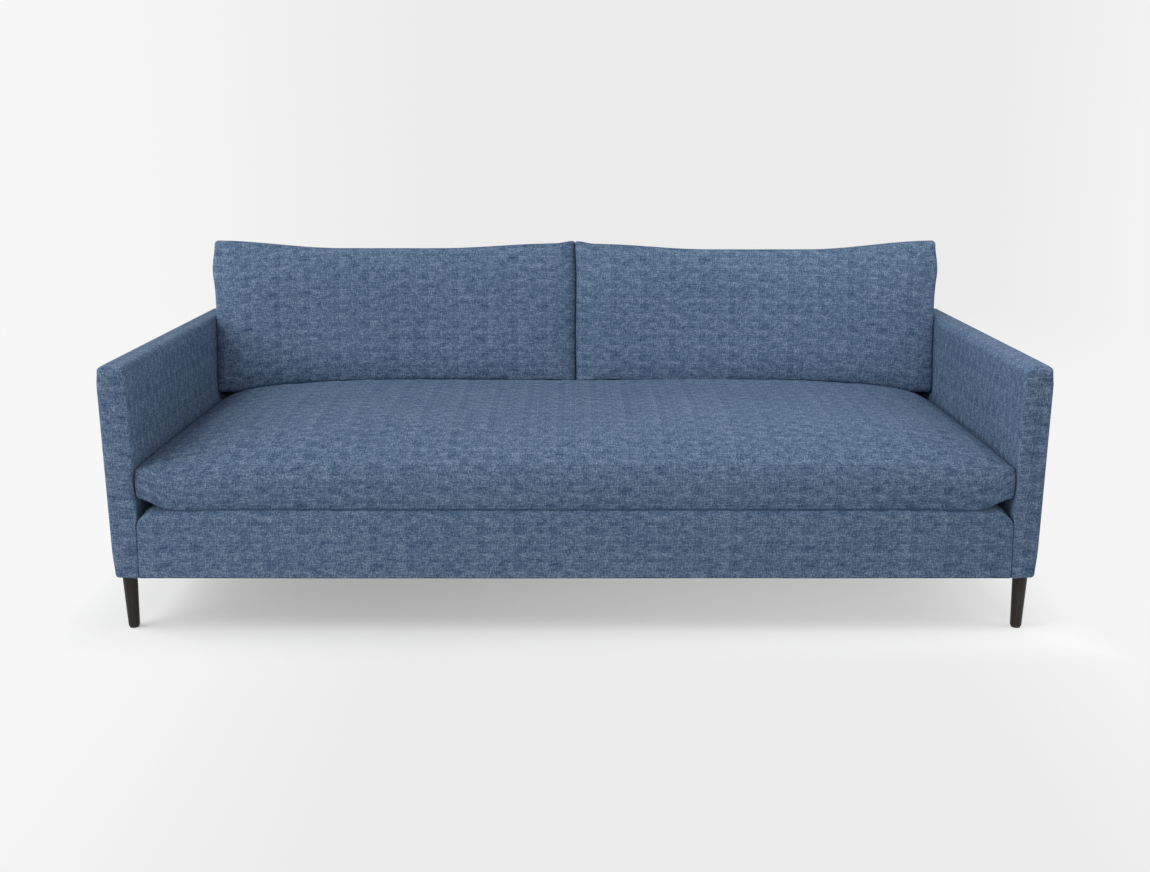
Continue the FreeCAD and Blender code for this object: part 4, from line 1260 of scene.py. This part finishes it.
# Each slot's finish: its name, the function that makes it and what that takes
finish_makers = {
    "sofa_fabric": ("sofa_fabric_cloth", sofa_fabric),
    "deck_cloth": ("deck_cloth_weave", deck_cloth),
    "dust_cloth": ("dust_cloth_felt", dust_cloth),
    "panel_board": ("panel_board_fibre", panel_board),
    "leg_timber": ("leg_timber_stain", leg_timber),
    "spring_steel": ("spring_steel_oiled", metal, (0.10, 0.10, 0.11), (0.24, 0.24, 0.25), 0.28,
                     (400.0, 60.0, 400.0)),
    "zinc_steel": ("zinc_steel_plated", metal, (0.42, 0.43, 0.45), (0.68, 0.69, 0.70), 0.26, 200.0),
    "zip_metal": ("zip_metal_enamel", metal, (0.05, 0.06, 0.08), (0.12, 0.14, 0.17), 0.30, 300.0),
    "glide_plastic": ("glide_plastic_moulded", glide_plastic),
    "wadding": ("wadding_fibre", wadding),
    "foam": ("foam_cells", foam),
    "zip_tape": ("zip_tape_weave", zip_tape),
    "timber_x": ("frame_timber_across", timber, (2.5, 34.0, 34.0)),
    "timber_y": ("frame_timber_deep", timber, (34.0, 2.5, 34.0)),
    "timber_z": ("frame_timber_upright", timber, (34.0, 34.0, 2.5)),
    "webbing_x": ("webbing_rows_weave", webbing, True),
    "webbing_z": ("webbing_columns_weave", webbing, False),
}
cloth_makers = (sofa_fabric, deck_cloth, dust_cloth)
finishes = {}


def finish_of(slot):
    """The finish of a material slot, made once."""
    if slot not in finishes:
        name, fill_in, *values = finish_makers[slot]
        made = bpy.data.materials.new(name)
        made.use_nodes = True
        coordinates = cloth_places if fill_in in cloth_makers else object_places
        fill_in(coordinates(made.node_tree), *values)
        finishes[slot] = made
    return finishes[slot]


upright_grain = ("arm_front_post", "arm_rear_post", "back_uprights", "corner_blocks")
deep_grain = ("arm_bottom_rail", "arm_top_rail", "seat_stretchers")


def dress_cad_nodes():
    """Gives every CAD node that still shows its finish."""
    for name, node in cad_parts.items():
        if node.hide_render:
            continue
        slot = node.data.materials[0].name.split(".")[0]
        if slot == "frame_timber":
            upright, deep = name.startswith(upright_grain), name.startswith(deep_grain)
            slot = "timber_z" if upright else "timber_y" if deep else "timber_x"
        if slot == "webbing":
            slot = "webbing_x" if "rows" in name else "webbing_z"
        node.data.materials[0] = finish_of(slot)


# Floor, light and camera

def from_eye(tree):
    """1 for rays that the camera, a reflection or glass sends, and 0 for light that falls on things."""
    outputs = new_node(tree, "LightPath", {}).socket.node.outputs
    camera, glossy, glass = (Wire(outputs[f"Is {k} Ray"]) for k in ("Camera", "Glossy", "Transmission"))
    return camera.math("MAXIMUM", glossy).math("MAXIMUM", glass)


def backdrop_tone(x, left, right):
    """The backdrop's tone at x, with painted light: palest towards its left end and paler towards its right.
    Left and right say where it changes.
    """
    to_left = (x * -1.0).step(*left) * (paler_left - pale)
    return to_left + x.step(*right) * (paler_right - pale) + pale


def make_world(ambient):
    """Even light from all sides, and the backdrop, which only the camera and reflections see."""
    world = bpy.data.worlds.new("studio")
    bpy.context.scene.world = world
    world.use_nodes = True
    tree = world.node_tree
    light = tree.nodes["Background"]
    light.inputs["Color"].default_value = (1.0, 1.0, 1.0, 1.0)
    light.inputs["Strength"].default_value = ambient
    x = split(new_node(tree, "TexCoord", {}, "Generated"))[0]
    # Painted light: the backdrop the camera sees is paler towards its left and right ends.
    seen = new_node(tree, "Background", {"Color": grey(backdrop_tone(x, (0.05, 0.42), (0.28, 0.45)))})
    mixed = new_node(tree, "MixShader", {0: from_eye(tree), 1: Wire(light.outputs[0]), 2: seen})
    join(mixed, tree.nodes["World Output"].inputs["Surface"])


def make_floor(albedo, open_level, radius=7.0, fade_from=2.2):
    """A pale round floor that fades into the backdrop and keeps the sofa's soft shadow. Open level
    is how bright its diffuse part is where nothing shades it."""
    bpy.ops.mesh.primitive_circle_add(vertices=96, radius=radius, fill_type="NGON")
    floor = bpy.context.object
    floor.name = "studio_floor"
    made = bpy.data.materials.new("studio_floor_paper")
    made.use_nodes = True
    tree = made.node_tree
    tree.nodes.remove(tree.nodes["Principled BSDF"])
    places = object_places(tree)
    x, y, _ = split(places)
    outside = (x.math("ABSOLUTE") - cad_box[1][0]).math("MAXIMUM", y.math("ABSOLUTE") - cad_box[1][1])
    glow_share = outside.step(0.0, shadow_reach) * (1.0 - shaded_glow) + shaded_glow
    shade = new_node(tree, "BsdfDiffuse", {"Color": grey(noise(places, 60.0) * 0.01 + (albedo - 0.005))})
    # Painted light and shade: the floor's glow follows the backdrop's paler ends, and near the sofa it is
    # painted darker towards the left, against the left lamp's brighter light.
    open_here = x.math("MAXIMUM", -open_reach).math("MINIMUM", open_reach) * -open_lean + open_level
    tone = backdrop_tone(x, (0.30, 1.25), (0.75, 1.40))
    level = (tone - open_here).math("DIVIDE", glow_share) + open_here
    glow = new_node(tree, "Emission", {"Color": grey(level)})
    lifted = new_node(tree, "MixShader", {0: from_eye(tree) * glow_share, 1: shade, 2: glow})
    gone = (x * x + y * y).math("SQRT").step(fade_from, radius * 0.9)
    faded = new_node(tree, "MixShader", {0: gone, 1: lifted, 2: new_node(tree, "BsdfTransparent", {})})
    join(faded, tree.nodes["Material Output"].inputs["Surface"])
    floor.data.materials.append(made)


def add_lamp(name, place, target, size, power):
    """A soft square lamp that faces a point."""
    lamp = bpy.data.lights.new(name, "AREA")
    lamp.size = size
    lamp.energy = power
    piece = new_object(name, lamp, place)
    piece.rotation_euler = (Vector(target) - Vector(place)).to_track_quat("-Z", "Y").to_euler()
    piece.visible_camera = False


def make_camera():
    """The photograph's view: from the front, a little above the sofa."""
    camera = bpy.data.cameras.new("camera")
    camera.lens = 39.26
    camera.sensor_width = 36.0
    piece = new_object("camera", camera, (0.0, -3.374, 1.2077))
    piece.rotation_euler = (math.radians(76.093), 0.0, 0.0)
    bpy.context.scene.camera = piece


bpy.context.scene.view_settings.view_transform = "Standard"
make_camera()
add_seat_cushion()
add_back_cushion("left", -1)
add_back_cushion("right", 1)
add_arms()
add_border()
add_deck()
add_inside_back()
add_outside_back()
add_dust_cover()
add_springs()
dress_cad_nodes()
make_world(0.18)
make_floor(0.70, 0.54)
add_lamp("left_softbox", (-3.2, -0.9, 2.5), (0.0, 0.0, 0.4), 3.2, 118.0)
add_lamp("right_softbox", (3.4, -0.8, 2.2), (0.0, 0.0, 0.4), 2.0, 20.0)
add_lamp("front_softbox", (0.0, -4.6, 1.2), (0.0, 0.0, 0.5), 3.0, 56.0)
add_lamp("right_lamp", (0.9, -0.5, 1.75), (0.2, 0.1, 0.45), 0.9, 8.0)
add_lamp("rear_softbox", (0.6, 3.4, 2.2), (0.0, 0.0, 0.4), 2.6, 35.0)
